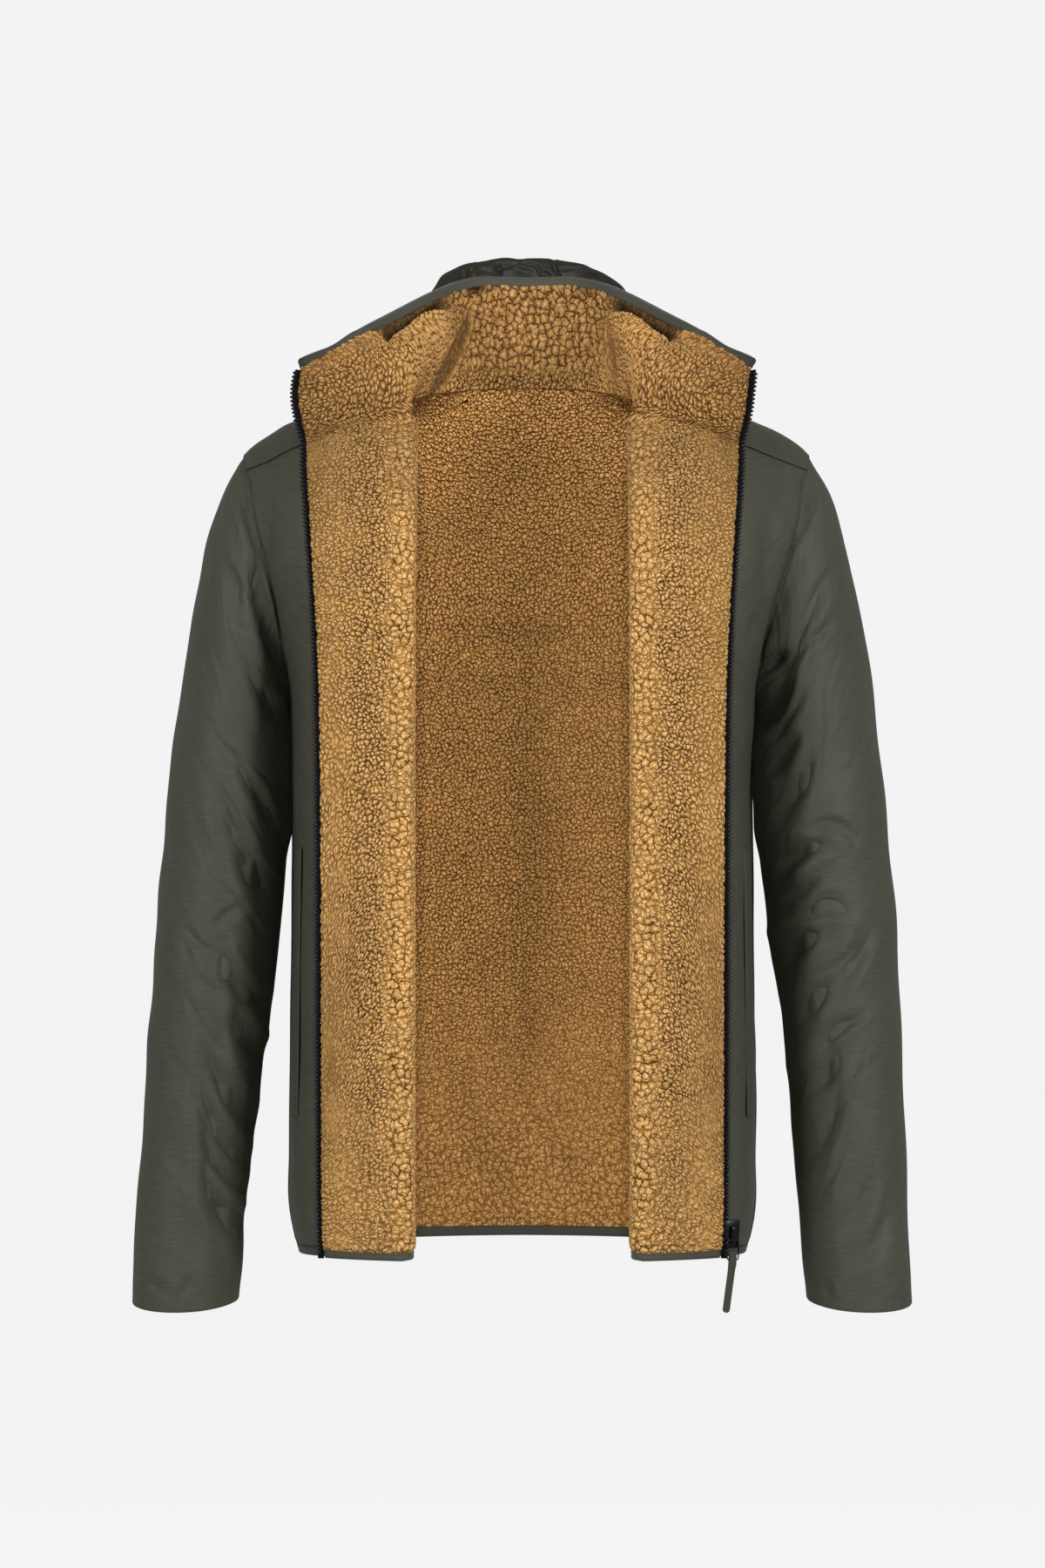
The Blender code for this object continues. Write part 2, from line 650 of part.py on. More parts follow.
def loop(name, path, radius, place, finish, origin, sides=6):
    """A closed ring of round wire along a path of (u, v) points."""
    points, faces, count = [], [], len(path)
    for i, (u, v) in enumerate(path):
        ahead, behind = path[(i + 1) % count], path[i - 1]
        du, dv = ahead[0] - behind[0], ahead[1] - behind[1]
        size = math.hypot(du, dv)
        for k in range(sides):
            turn = 2 * math.pi * k / sides
            off, lift = radius * math.cos(turn), radius * math.sin(turn)
            points.append(place(u + dv / size * off, v - du / size * off, lift))
    for i in range(count):
        for k in range(sides):
            a, b = i * sides + k, i * sides + (k + 1) % sides
            c, d = (i + 1) % count * sides + k, (i + 1) % count * sides + (k + 1) % sides
            faces.append([a, b, d, c])
    return make(name, points, faces, finish, origin)


def spread(start, end, steps):
    return [start + (end - start) * i / steps for i in range(steps + 1)]


ROWS_ARMHOLE, ROWS_SHOULDER, SHOULDER_STEPS = 8, 3, 3
ROWS = [0.0, 0.025, POCKET_FROM, 0.27, POCKET_TO, 0.485] + spread(ROW_ARMPIT, ROW_SHOULDER, ROWS_ARMHOLE)
ROWS += spread(ROW_SHOULDER, 1.0, ROWS_SHOULDER)[1:]
TOP_ROWS = ROWS[-1 - ROWS_SHOULDER :]
FRONT_COLUMNS = [0.0, *POCKET_ACROSS] + spread(POCKET_ACROSS[1], FOLD_FROM, 3)[1:]
FRONT_COLUMNS += spread(FOLD_FROM, FOLD_TO, 5)[1:] + spread(FOLD_TO, 1.0, 4)[1:]
BACK_COLUMNS = spread(0.0, 1.0, 8)
SHOULDER_COLUMNS = spread(0.0, 1.0, SHOULDER_STEPS)

ARMHOLE_TURNS = spread(0.0, SHOULDER_FRONT_ANGLE, SHOULDER_STEPS)
ARMHOLE_TURNS += spread(SHOULDER_FRONT_ANGLE, 180.0, ROWS_ARMHOLE)[1:] + spread(180.0, 360.0, ROWS_ARMHOLE)[1:]

# the two long seams of a sleeve, as angles round it
SEAM_FRONT = ARMHOLE_TURNS[SHOULDER_STEPS + 7]
SEAM_BACK = ARMHOLE_TURNS[SHOULDER_STEPS + ROWS_ARMHOLE + 5]
TOP_TURNS = [t - 360.0 for t in ARMHOLE_TURNS if SEAM_BACK <= t < 360.0]
TOP_TURNS += [t for t in ARMHOLE_TURNS if t <= SEAM_FRONT]
UNDER_TURNS = [t for t in ARMHOLE_TURNS if SEAM_FRONT <= t <= SEAM_BACK]

COLLAR_COLUMNS = spread(0.0, NECK_SIDE, 8) + spread(NECK_SIDE, NECK_SHOULDER, SHOULDER_STEPS)[1:]
COLLAR_COLUMNS += spread(NECK_SHOULDER, NECK_FOLD, 2)[1:] + spread(NECK_FOLD, NECK_LAPEL, 5)[1:]
COLLAR_COLUMNS += spread(NECK_LAPEL, 1.0, 4)[1:]
COLLAR_ROWS = [0.0, 0.14, 1 / 3, 0.5, 2 / 3, 0.83, 1.0]


def back_sheet():
    half = [[(back(a, up), back_facing(a, up)) for a in BACK_COLUMNS] for up in ROWS]
    over = [[(shoulder(f, up), body_facing(shoulder(f, up))) for f in SHOULDER_COLUMNS] for up in TOP_ROWS]
    sheet = Sheet()
    for mirror in (False, True):
        sheet.add(half, mirror).add(over, mirror)
    return sheet.trimmed(SEAM)


def front_sheet(mirror):
    rows = [[(front(a, up), front_facing(a, up)) for a in FRONT_COLUMNS] for up in ROWS]
    return Sheet().add(rows, mirror).trimmed(SEAM)


def collar_sheet():
    rows = [[(collar(a, up), collar_facing(a, up)) for a in COLLAR_COLUMNS] for up in COLLAR_ROWS]
    return Sheet().add(rows).add(rows, True).trimmed(SEAM)


def sleeve_sheet(turns, creases, mirror, rows=16):
    block = []
    for down in [i / rows for i in range(rows + 1)]:
        row = []
        for turn in turns:
            out = sleeve_facing(turn, down)
            row.append((sleeve(turn, down) - out * creased(turn, down, creases) * share(down, 0.0, 0.1), out))
        block.append(row)
    return Sheet().add(block, mirror).trimmed(SEAM)


def both(name, build):
    """Builds a piece for each side of the wearer."""
    for side, mirror in (("left", False), ("right", True)):
        build(f"{side}_{name}", mirror)


def sleeve_pieces(name, mirror):
    creases = RIGHT_CREASES if mirror else LEFT_CREASES
    for piece, turns in (("top", TOP_TURNS), ("under", UNDER_TURNS)):
        sheet = sleeve_sheet(turns, creases, mirror)
        cloth(name.replace("sleeve", piece + "_sleeve"), sheet, 0.0, SLEEVE_WALL, "shell")


def roll_point(around, k):
    """A point of the roll's outside: k runs along its section, from its foot behind the binding."""
    edge, outward = collar(around, 1.0), collar_facing(around, 1.0)
    upward = unit(edge - collar(around, 0.9))
    full = max(0.0, 1.0 - (around / ROLL_TO) ** 1.9)
    depth, height = through(ROLL_SECTION, k)
    depth = ROLL_CLEAR + depth * (0.25 + 0.75 * full**0.6)
    if height > 0:
        height *= (7.0 + ROLL_RISE * full) / 25.0
    else:
        height *= 0.35 + 0.65 * full
    return edge + outward * depth + upward * height


def roll_facing(around, k):
    ahead, behind = roll_point(around, min(1.0, k + 0.02)), roll_point(around, max(0.0, k - 0.02))
    along = roll_point(min(ROLL_TO, around + 0.01), k) - roll_point(max(0.0, around - 0.01), k)
    out = unit(np.cross(along, ahead - behind))
    return unit(out * (0.0, 1.0, 1.0)) if around <= 0.0 else out


def collar_roll():
    places = [[(ROLL_TO * i / 6, k / 9) for k in range(10)] for i in range(7)]
    half = [[(roll_point(*place), roll_facing(*place)) for place in row] for row in places]
    cloth("collar_roll", Sheet().add(half).add(half, True), 0.0, SHELL, "shell")


def pulled_in(stations):
    """Shortens a row of stations by half a seam's gap at each end."""
    points = [station[0] for station in stations]
    first = points[0] + unit(points[1] - points[0]) * SEAM / 2
    last = points[-1] + unit(points[-2] - points[-1]) * SEAM / 2
    return [(first, *stations[0][1:]), *stations[1:-1], (last, *stations[-1][1:])]


def mirrored(stations):
    return [tuple(v * (-1.0, 1.0, 1.0) for v in station) for station in stations]


def along_edge(surface, facing_of, places, step):
    """Stations along a surface's edge: the point, the direction away from the cloth and the one into it.

    step leads from a place on the edge to one within the cloth.
    """
    points = [surface(*place) for place in places]
    stations = []
    for i, (s, t) in enumerate(places):
        tangent = unit(points[min(i + 1, len(points) - 1)] - points[max(i - 1, 0)])
        out = unit(np.cross(tangent, facing_of(s, t)))
        within = surface(s + step[0], t + step[1])
        out = out * math.copysign(1.0, np.dot(out, points[i] - within))
        stations.append((points[i], out, -facing_of(s, t)))
    return stations


def edges_of_front(name, mirror):
    side = mirrored if mirror else list
    sweep(name.replace("edges", "hem_binding"), side(front_hem), HEM_SECTION, "binding")
    sweep(name.replace("edges", "zip_half"), side(zip_line), ZIP_SECTION, "zip")
    rows = [up for up in ROWS if POCKET_FROM <= up <= POCKET_TO]
    block = [[(front(a, up), front_facing(a, up)) for a in POCKET_ACROSS] for up in rows]
    sheet = Sheet().add(block, mirror)
    cloth(name.replace("edges", "pocket_welt"), sheet, -SKIN_GAP - WELT_THICKNESS, -SKIN_GAP, "shell")


# ---------------------------------------------------------------- the jacket

for old in list(bpy.data.objects):
    bpy.data.objects.remove(old, do_unlink=True)

lining_outer = SHELL + SKIN_GAP
lining_inner = lining_outer + PILE

cloth("back_shell", back_sheet(), 0.0, SHELL, "shell")
cloth("back_lining", back_sheet(), lining_outer, lining_inner, "pile", PILE_AT_EDGE)
both("front_shell", lambda name, mirror: cloth(name, front_sheet(mirror), 0.0, SHELL, "shell"))
both(
    "front_lining",
    lambda name, mirror: cloth(name, front_sheet(mirror), lining_outer, lining_inner, "pile", PILE_AT_EDGE),
)
cloth("collar_shell", collar_sheet(), 0.0, SHELL, "shell")
cloth("collar_lining", collar_sheet(), lining_outer, lining_inner, "pile", PILE_AT_EDGE)

both("sleeve", sleeve_pieces)

collar_roll()

collar_edge = along_edge(collar, collar_facing, [(a, 1.0) for a in COLLAR_COLUMNS], (0.0, -0.05))
nape, nape_out, nape_in = collar_edge[0]
collar_edge[0] = nape, unit(nape_out * (0.0, 1.0, 1.0)), nape_in
sweep("collar_binding", pulled_in(mirrored(collar_edge)[:0:-1] + collar_edge), BINDING_SECTION, "binding")

back_hem = along_edge(back, back_facing, [(a, 0.0) for a in BACK_COLUMNS], (0.0, 0.02))
sweep("back_hem_binding", pulled_in(back_hem + mirrored(back_hem)[-2::-1]), HEM_SECTION, "binding")

front_hem = pulled_in(along_edge(front, front_facing, [(a, 0.0) for a in FRONT_COLUMNS], (0.0, 0.02)))
zip_line = along_edge(front, front_facing, [(1.0, up) for up in ROWS], (-0.04, 0.0))
collar_ups = [up * ZIP_TOP for up in COLLAR_ROWS[1:]]
zip_line += along_edge(collar, collar_facing, [(1.0, up) for up in collar_ups], (-0.04, 0.0))
zip_line.insert(0, (zip_line[0][0] - np.array([0.0, 0.0, 6.5]), *zip_line[0][1:]))

both("edges", edges_of_front)

# ---------------------------------------------------------------- the slider and its pull, at the wearer's left

slider_places = [(1.0, SLIDER_UP + step) for step in (-0.02, 0.0, 0.02)]
point, out, inward = along_edge(front, front_facing, slider_places, (-0.04, 0.0))[1]
up_zip = unit(front(*slider_places[2]) - front(*slider_places[0]))
toward = np.cross(out, up_zip)
toward = toward * math.copysign(1.0, np.dot(toward, inward))
centre = point + out * CHAIN_CENTRE + inward * MID_DEPTH
down_pull = -up_zip * math.cos(math.radians(PULL_SLANT)) - out * math.sin(math.radians(PULL_SLANT))
across_pull = np.cross(toward, down_pull)

extruded(
    "zip_slider",
    SLIDER_SECTION,
    lambda u, v, w: centre + out * u + toward * v + up_zip * w,
    SLIDER_HALF_LENGTH,
    "metal",
    SLIDER_FLARE,
)
extruded(
    "zip_slider_bridge",
    BRIDGE_PROFILE,
    lambda u, v, w: centre + up_zip * u + toward * (v + BRIDGE_BASE) + out * (w + BRIDGE_MIDDLE),
    BRIDGE_HALF_WIDTH,
    "metal",
)

corner = LINK_WIRE * 1.8
w, top, bottom = LINK_HALF_WIDTH, LINK_TOP, LINK_BOTTOM
link_path = [(-w, top - corner), (-w + corner, top), (w - corner, top), (w, top - corner)]
link_path += [(w, bottom + corner), (w - corner, bottom), (-w + corner, bottom), (-w, bottom + corner)]
hinge = centre + out * BRIDGE_MIDDLE + toward * LINK_LIFT + up_zip * LINK_TOP
loop(
    "zip_pull_link",
    link_path,
    LINK_WIRE,
    lambda u, v, w: hinge + out * u + up_zip * (v - LINK_TOP) + toward * w,
    "metal",
    hinge,
)

outside = list(PULL_OUTSIDE) + [(PULL_OUTSIDE[-1][0], -PULL_LENGTH)]
inside = [(PULL_INSIDE[-1][0], -PULL_LENGTH)] + list(PULL_INSIDE[::-1])
half = outside + inside
pull_outline = half + [(-u, v) for u, v in half[-2:0:-1]]
ring = hinge + up_zip * (LINK_BOTTOM - LINK_TOP)
extruded(
    "zip_pull_tab",
    pull_outline,
    lambda u, v, w: ring + toward * u - down_pull * v + across_pull * w,
    PULL_HALF_WIDTH,
    "binding",
    1.0,
    hinge,
)

print("hinge of the pull, m:", [round(float(v) * MM, 5) for v in settle(hinge)])
print("its axis, swinging forward:", [round(-float(v), 4) for v in out])
print("triangles:", sum(len(p.vertices) - 2 for item in bpy.data.objects for p in item.data.polygons))
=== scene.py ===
# %% [markdown]
# # A pile-lined jacket, worn open
#
# The jacket has an outside of woven nylon and an inside of curled pile. Both fronts are turned back along a
# fold, so most of what the eye meets is the pile. This lesson rebuilds each cloth as a sheet of its own over the
# plain solids of the frame, and then adds what is sewn to it: bindings, zip, stitches and the puller.
#
# Every table is in millimetres, with +X to the wearer's left, +Y to the wearer's back and +Z up. The origin is
# the middle of the neck. Only the step that makes a mesh turns millimetres into metres.

# %% Load the frame
import math

import bmesh
import bpy
import numpy as np
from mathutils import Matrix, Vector


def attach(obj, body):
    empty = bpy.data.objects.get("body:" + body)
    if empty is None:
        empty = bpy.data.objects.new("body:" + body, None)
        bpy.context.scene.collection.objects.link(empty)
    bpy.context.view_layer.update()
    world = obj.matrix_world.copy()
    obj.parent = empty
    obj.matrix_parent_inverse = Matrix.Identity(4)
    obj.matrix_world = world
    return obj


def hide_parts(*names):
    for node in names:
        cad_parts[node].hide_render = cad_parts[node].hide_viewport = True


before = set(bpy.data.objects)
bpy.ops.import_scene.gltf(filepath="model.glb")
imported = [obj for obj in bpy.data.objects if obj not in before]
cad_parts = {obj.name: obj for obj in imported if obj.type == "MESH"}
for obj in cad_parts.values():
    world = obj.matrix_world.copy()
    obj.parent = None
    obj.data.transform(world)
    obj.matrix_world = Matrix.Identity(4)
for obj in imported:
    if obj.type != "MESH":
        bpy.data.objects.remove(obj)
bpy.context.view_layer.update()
MM = 0.001

# %% [markdown]
# ## The camera, the room and the light
#
# A garment is photographed from far away with a long lens, so that its parts keep their true proportions. The
# camera here is level and 4.5 m away, and its lens takes in 1.22 m from top to bottom at the jacket. The room is
# a pale floor that curves up into a round wall, so no line shows where they meet, from whichever side one looks.

# %% Camera
CAMERA_DISTANCE, CAMERA_Z, VIEW_HEIGHT = 4500.0, -292.4, 1224.0
SENSOR = 36.0

camera_data = bpy.data.cameras.new("camera")
camera_data.sensor_width = SENSOR
camera_data.lens = SENSOR * CAMERA_DISTANCE / VIEW_HEIGHT
camera = bpy.data.objects.new("camera", camera_data)
camera.location = (0.0, -CAMERA_DISTANCE * MM, CAMERA_Z * MM)
camera.rotation_euler = (math.radians(90.0), 0.0, 0.0)
bpy.context.scene.collection.objects.link(camera)
bpy.context.scene.camera = camera
bpy.context.scene.view_settings.view_transform = "Standard"
print("lens in mm:", round(camera_data.lens, 1))


# %% [markdown]
# Colours are chosen as sRGB hex codes, the way a screen shows them, and Blender wants them linear. One function
# turns them over, and one function adds a node with its settings and its links, so a material reads as a list.

# %% Colours and nodes
def linear(code):
    """Linear colour, with alpha, from a hex code."""
    values = [int(code[i : i + 2], 16) / 255 for i in (0, 2, 4)]
    return [v / 12.92 if v <= 0.04045 else ((v + 0.055) / 1.055) ** 2.4 for v in values] + [1.0]


def add(tree, kind, settings=None, inputs=None):
    """Adds a node. Each input is a plain value, a socket to link from, or a node, whose first output is meant."""
    node = tree.nodes.new(kind)
    for key, value in (settings or {}).items():
        setattr(node, key, value)
    for key, value in (inputs or {}).items():
        value = value.outputs[0] if isinstance(value, bpy.types.Node) else value
        if isinstance(value, bpy.types.NodeSocket):
            tree.links.new(value, node.inputs[key])
        else:
            node.inputs[key].default_value = value
    return node


# short names for the nodes that every pattern here uses, and for their usual settings
NOISE, CELLS, RANGE = "ShaderNodeTexNoise", "ShaderNodeTexVoronoi", "ShaderNodeMapRange"
MATHS, VECTORS, MIX, BUMP = "ShaderNodeMath", "ShaderNodeVectorMath", "ShaderNodeMix", "ShaderNodeBump"
FLAT, SMOOTH, TIMES = {"noise_dimensions": "2D"}, {"interpolation_type": "SMOOTHSTEP"}, {"operation": "MULTIPLY"}


def shaded(tree, colour, *shades):
    """A colour times some values, each carried over from its range to a range of shares."""
    for value, low, high, least, most in shades:
        share = add(tree, RANGE, {}, {"Value": value, 1: low, 2: high, 3: least, 4: most})
        colour = add(tree, VECTORS, {"operation": "SCALE"}, {0: colour, "Scale": share})
    return colour.outputs[0]


def new_material(name, colour, roughness, **values):
    """A material with these values on its shader's own sockets; gives the material, its tree and the shader."""
    material = bpy.data.materials.new(name)
    material.use_nodes = True
    shader = material.node_tree.nodes["Principled BSDF"]
    shader.inputs["Base Color"].default_value = linear(colour)
    shader.inputs["Roughness"].default_value = roughness
    for key, value in values.items():
        shader.inputs[key.replace("_", " ")].default_value = value
    return material, material.node_tree, shader


def staged(name, work, material):
    """A stage object from a bmesh in metres; it sends no light of its own onto the jacket."""
    mesh = bpy.data.meshes.new(name)
    work.to_mesh(mesh)
    work.free()
    mesh.materials.append(material)
    mesh.shade_smooth()
    item = bpy.data.objects.new(name, mesh)
    item.visible_diffuse = item.visible_glossy = False
    bpy.context.scene.collection.objects.link(item)
    return item


# %% Room
# metres: the floor's height and radius, the radius of the bend up into the wall, and the wall's height
FLOOR_Z, FLOOR_RADIUS, BEND_RADIUS, WALL_HEIGHT = -1.35, 9.0, 1.5, 12.0
# the grid's rows from the middle of the floor outwards: up to BEND_FROM is floor, and from BEND_TO on wall
BEND_FROM, BEND_TO = 0.5, 0.62
room_paint, _, shader = new_material("pale_studio_paint", "303030", 1.0, Emission_Strength=0.985)
shader.inputs["Specular IOR Level"].default_value = 0.0
shader.inputs["Emission Color"].default_value = linear("F3F3F3")

work = bmesh.new()
bmesh.ops.create_grid(work, x_segments=64, y_segments=50, size=1.0)
for vertex in work.verts:
    around, along = (vertex.co.x + 1.0) * math.pi, (vertex.co.y + 1.0) / 2.0
    turn = min(max((along - BEND_FROM) / (BEND_TO - BEND_FROM), 0.0), 1.0) * math.pi / 2
    radius = FLOOR_RADIUS * min(along / BEND_FROM, 1.0) + BEND_RADIUS * math.sin(turn)
    z = FLOOR_Z + BEND_RADIUS * (1.0 - math.cos(turn)) + WALL_HEIGHT * max(along - BEND_TO, 0.0)
    vertex.co = Vector((radius * math.cos(around), radius * math.sin(around), z))
bmesh.ops.remove_doubles(work, verts=work.verts, dist=0.0001)
bmesh.ops.recalc_face_normals(work, faces=work.faces)
staged("room", work, room_paint)


# %% [markdown]
# Two large softboxes stand at the sides, so their light rakes across the sleeves and shows every fold. They can't
# reach into the open jacket. A third stands above the camera for that, and two flags, black cards out of sight,
# keep its light off the sleeves. The flags only cast shadows. A fourth lights the back, for whoever walks round
# the jacket, and gives no reflections, which would show from the front as a pale rim on the shoulders.

# %% Lights
def softbox(name, place, aim, width, height, power):
    """A soft lamp at a place, turned towards a point, both in metres."""
    data = bpy.data.lights.new(name, "AREA")
    data.shape = "RECTANGLE"
    data.size = width
    data.size_y = height
    data.energy = power
    lamp = bpy.data.objects.new(name, data)
    lamp.location = place
    lamp.rotation_euler = (Vector(aim) - Vector(place)).to_track_quat("-Z", "Y").to_euler()
    lamp.visible_camera = False
    bpy.context.scene.collection.objects.link(lamp)


softbox("front", (0.0, -4.6, 0.6), (0.0, 0.0, -0.28), 0.3, 0.4, 168.0)
softbox("left", (-2.3, -3.2, 0.6), (-0.1, 0.0, -0.2), 1.0, 1.8, 56.0)
softbox("right", (2.3, -3.2, 0.6), (0.1, 0.0, -0.2), 1.0, 1.8, 73.0)
softbox("behind", (0.0, 3.6, 0.9), (0.0, 0.0, -0.3), 1.6, 2.0, 80.0)
bpy.data.objects["behind"].visible_glossy = False

# metres: how far in front of the jacket the flags hang, their inner edges' distance from the middle, their width,
# half their height and the height of their middle
FLAG_Y, FLAG_EDGE, FLAG_WIDTH, FLAG_HALF, FLAG_Z = -1.2, 0.102, 0.42, 0.9, -0.3
flag_card, _, _ = new_material("black_flag_card", "050505", 1.0)
for name, side in (("left_flag", -1), ("right_flag", 1)):
    work = bmesh.new()
    bmesh.ops.create_grid(work, x_segments=1, y_segments=1, size=1.0)
    for vertex in work.verts:
        x = side * (FLAG_EDGE + FLAG_WIDTH * (vertex.co.x + 1.0) / 2.0)
        vertex.co = Vector((x, FLAG_Y, vertex.co.y * FLAG_HALF + FLAG_Z))
    staged(name, work, flag_card).visible_camera = False

world = bpy.data.worlds.new("studio")
world.use_nodes = True
sky = world.node_tree.nodes["Background"].inputs
sky["Color"].default_value, sky["Strength"].default_value = linear("F3F3F3"), 0.33
bpy.context.scene.world = world

# %% [markdown]
# ## The form of the jacket
#
# Each sheet of cloth is a function of two places: how far across the panel and how far up it. The body is a stack
# of rounded sections, the sleeve is another, and the front runs from the side seam over the chest, round its fold
# and back out to the zip. The tables hold the sizes by which the jacket was cut and worn.

# %% Sizes of the body, the turned-back front and the collar
# thickness of the nylon with its padding, the gap behind it, the pile's free height, and the share that stands
SHELL, SKIN_GAP, PILE, PILE_STANDS = 1.5, 0.3, 6.0, 0.910787
SQUARENESS = 2.3
HEM_FRONT, HEM_SIDE, HEM_BACK, NAPE_Z = -647.0, -652.0, -650.0, 29.0

# height, half width, depth in front of the shoulder line, depth behind it
TORSO = (
    (-664.0, 165.0, 133.0, 133.0),
    (-652.0, 174.5, 138.0, 138.0),
    (-640.0, 178.0, 142.0, 142.0),
    (-620.0, 181.2, 146.0, 146.0),
    (-580.0, 181.4, 148.0, 148.0),
    (-500.0, 181.0, 148.0, 146.0),
    (-420.0, 179.5, 147.0, 142.0),
    (-330.0, 179.0, 146.0, 141.0),
    (-250.0, 179.5, 147.0, 144.0),
    (-218.0, 182.0, 147.0, 147.0),
    (-190.0, 192.0, 146.0, 149.0),
    (-150.0, 208.0, 144.0, 150.0),
    (-122.0, 219.0, 139.0, 149.0),
    (-85.0, 229.0, 126.0, 144.0),
    (-60.0, 227.0, 110.0, 138.0),
    (-36.0, 219.0, 88.0, 128.0),
    (-27.0, 209.0, 76.0, 123.0),
    (-14.0, 186.0, 57.0, 115.0),
    (0.0, 148.0, 34.0, 108.0),
    (10.0, 114.0, 14.0, 104.0),
    (18.0, 88.0, 9.0, 102.0),
    (36.0, 84.0, 7.0, 99.0),
)
ARMHOLE_TOP, ARMHOLE_BOTTOM, ARMHOLE_FRONT, ARMHOLE_BACK = -36.0, -218.0, 66.0, 73.0
SHOULDER_FRONT_ANGLE = 31.0
# forward shoulder seam: distance from the centre, height
SHOULDER_SEAM = ((92.0, -9.0), (120.0, -16.0), (174.0, -32.0), (202.0, -44.0), (217.1, -49.0))
# neck seam of the back: angle round the body, height
NECK_SEAM = ((90.0, 17.5), (135.0, 25.0), (180.0, NAPE_Z))
ROW_ARMPIT, ROW_SHOULDER = 0.56, 0.84
# the front's fold: distance from the centre, radius, height at the neck, and its share of the way across; then how
# far the part beyond it bows, as a share of its width
FOLD_X, FOLD_RADIUS, NECK_AT_FOLD, FOLD_FROM, FOLD_TO, LAPEL_BOW = 91.0, 4.6, -19.0, 0.40, 0.52, 0.45
# how the shoulder's ridge climbs to the neck, and how much the cloth swells over the shoulder in mm
RIDGE_CLIMB, SHOULDER_SWELL = 0.8, 12.8
# free edge of the turned-back front: share of the way up, x, y, height
ZIP_EDGE = (
    (0.0, 150.0, -120.0, -646.0),
    (0.28, 151.5, -126.0, -488.0),
    (0.56, 152.5, -127.0, -236.0),
    (0.70, 155.0, -122.0, -160.0),
    (0.84, 160.0, -113.0, -92.0),
    (1.0, 166.0, -99.0, -34.0),
)
# share of the way round the collar, then its roll, the dip behind it and its bound edge, as x, y, height
COLLAR = (
    (0.00, (0.0, 104.0, 72.0), (0.0, 107.0, 93.0), (0.0, 107.0, 105.0)),
    (0.08, (43.0, 97.0, 72.0), (43.0, 100.0, 92.0), (42.0, 101.5, 104.5)),
    (0.13, (61.0, 80.0, 72.0), (61.0, 85.0, 88.0), (61.0, 87.0, 99.0)),
    (0.18, (72.0, 56.0, 69.0), (74.0, 62.0, 80.0), (75.0, 67.0, 91.0)),
    (0.24, (77.0, 28.0, 63.0), (83.0, 38.0, 67.0), (88.5, 44.0, 82.0)),
    (0.30, (84.0, -2.0, 54.0), (93.0, 15.0, 53.0), (99.0, 25.0, 75.0)),
    (0.36, (96.0, -38.0, 44.0), (108.0, -22.0, 42.0), (118.0, -14.0, 61.0)),
    (0.40, (102.0, -52.0, 40.0), (113.0, -38.0, 43.0), (125.0, -27.0, 55.5)),
    (0.52, (112.0, -68.0, 31.0), (122.0, -55.0, 40.0), (133.0, -42.0, 50.0)),
    (0.70, (131.0, -83.0, 16.0), (139.0, -73.0, 31.0), (147.0, -61.0, 39.0)),
    (1.00, (170.5, -93.0, -6.0), (172.5, -88.0, 13.0), (173.0, -84.0, 26.5)),
)
NECK_SIDE, NECK_SHOULDER, NECK_FOLD, NECK_LAPEL = 0.30, 0.36, 0.40, 0.52
# puffed roll behind the collar's edge: how far round it reaches, its height at its ends, its further rise at the
# nape, its distance from the edge
ROLL_TO, ROLL_LOW, ROLL_RISE, ROLL_CLEAR = 0.18, 7.0, 17.0, 2.2
# its section at the nape: distance behind the binding, height
ROLL_SECTION = (
    (0.0, -4.0),
    (0.1, 3.0),
    (1.2, 15.0),
    (4.0, 22.5),
    (8.0, 25.0),
    (12.0, 20.0),
    (13.0, 9.0),
    (10.0, -5.0),
    (5.0, -16.0),
    (0.0, -25.0),
)
# sleeve sections: outer x and height, inner x and height, half depth, centre y
SLEEVE = (
    (234.0, -61.0, 183.8, -223.0, 68.0, -2.0),
    (246.0, -97.0, 184.6, -230.0, 71.0, -1.0),
    (256.5, -140.0, 183.0, -241.0, 72.0, 0.0),
    (266.5, -195.0, 182.2, -258.0, 71.0, 0.0),
    (274.5, -255.0, 182.2, -290.0, 68.0, -1.0),
    (281.0, -320.0, 183.4, -335.0, 65.0, -4.0),
    (287.5, -400.0, 190.4, -405.0, 60.0, -9.0),
    (292.5, -480.0, 200.0, -480.0, 56.0, -14.0),
    (297.0, -570.0, 209.4, -565.0, 51.0, -20.0),
    (300.0, -640.0, 216.0, -633.0, 46.0, -25.0),
    (302.4, -693.0, 220.0, -690.0, 43.0, -28.0),
)
# how much lower the cuff hangs in front, the padded wall, how boxy the sections are, and how far the sleeve's inner
# side is hollowed in front and drawn in beside the body
CUFF_DIP, SLEEVE_WALL, SLEEVE_BOXY, INNER_HOLLOW, DRAWN_IN = 6.0, 2.2, 0.92, 9.0, 3.2
# the sleeves and the collar have settled towards the wearer's left: by how much, and between which heights
LEAN, LEAN_FROM, LEAN_TO, COLLAR_LEAN = 3.0, -620.0, -430.0, 5.0
POCKET_FROM, POCKET_TO = 0.133, 0.401  # shares of the way up a front
ZIP_TOP = 0.92  # share of the way up the collar
print("rows in the tables:", len(TORSO), len(ZIP_EDGE), len(COLLAR), len(SLEEVE))


# %% [markdown]
# A table has few rows, so a smooth curve is drawn through them. The functions below take whole arrays of places
# at once, which is what makes fine sheets with tens of thousands of points quick to work out.

# %% Curves through tables and points
def eased(value, low, high):
    """How far value is from low to high, from 0 to 1, eased at both ends."""
    t = np.clip((value - low) / (high - low), 0.0, 1.0)
    return t * t * (3.0 - 2.0 * t)


def unit(vectors):
    return vectors / np.maximum(1e-9, np.linalg.norm(vectors, axis=-1, keepdims=True))


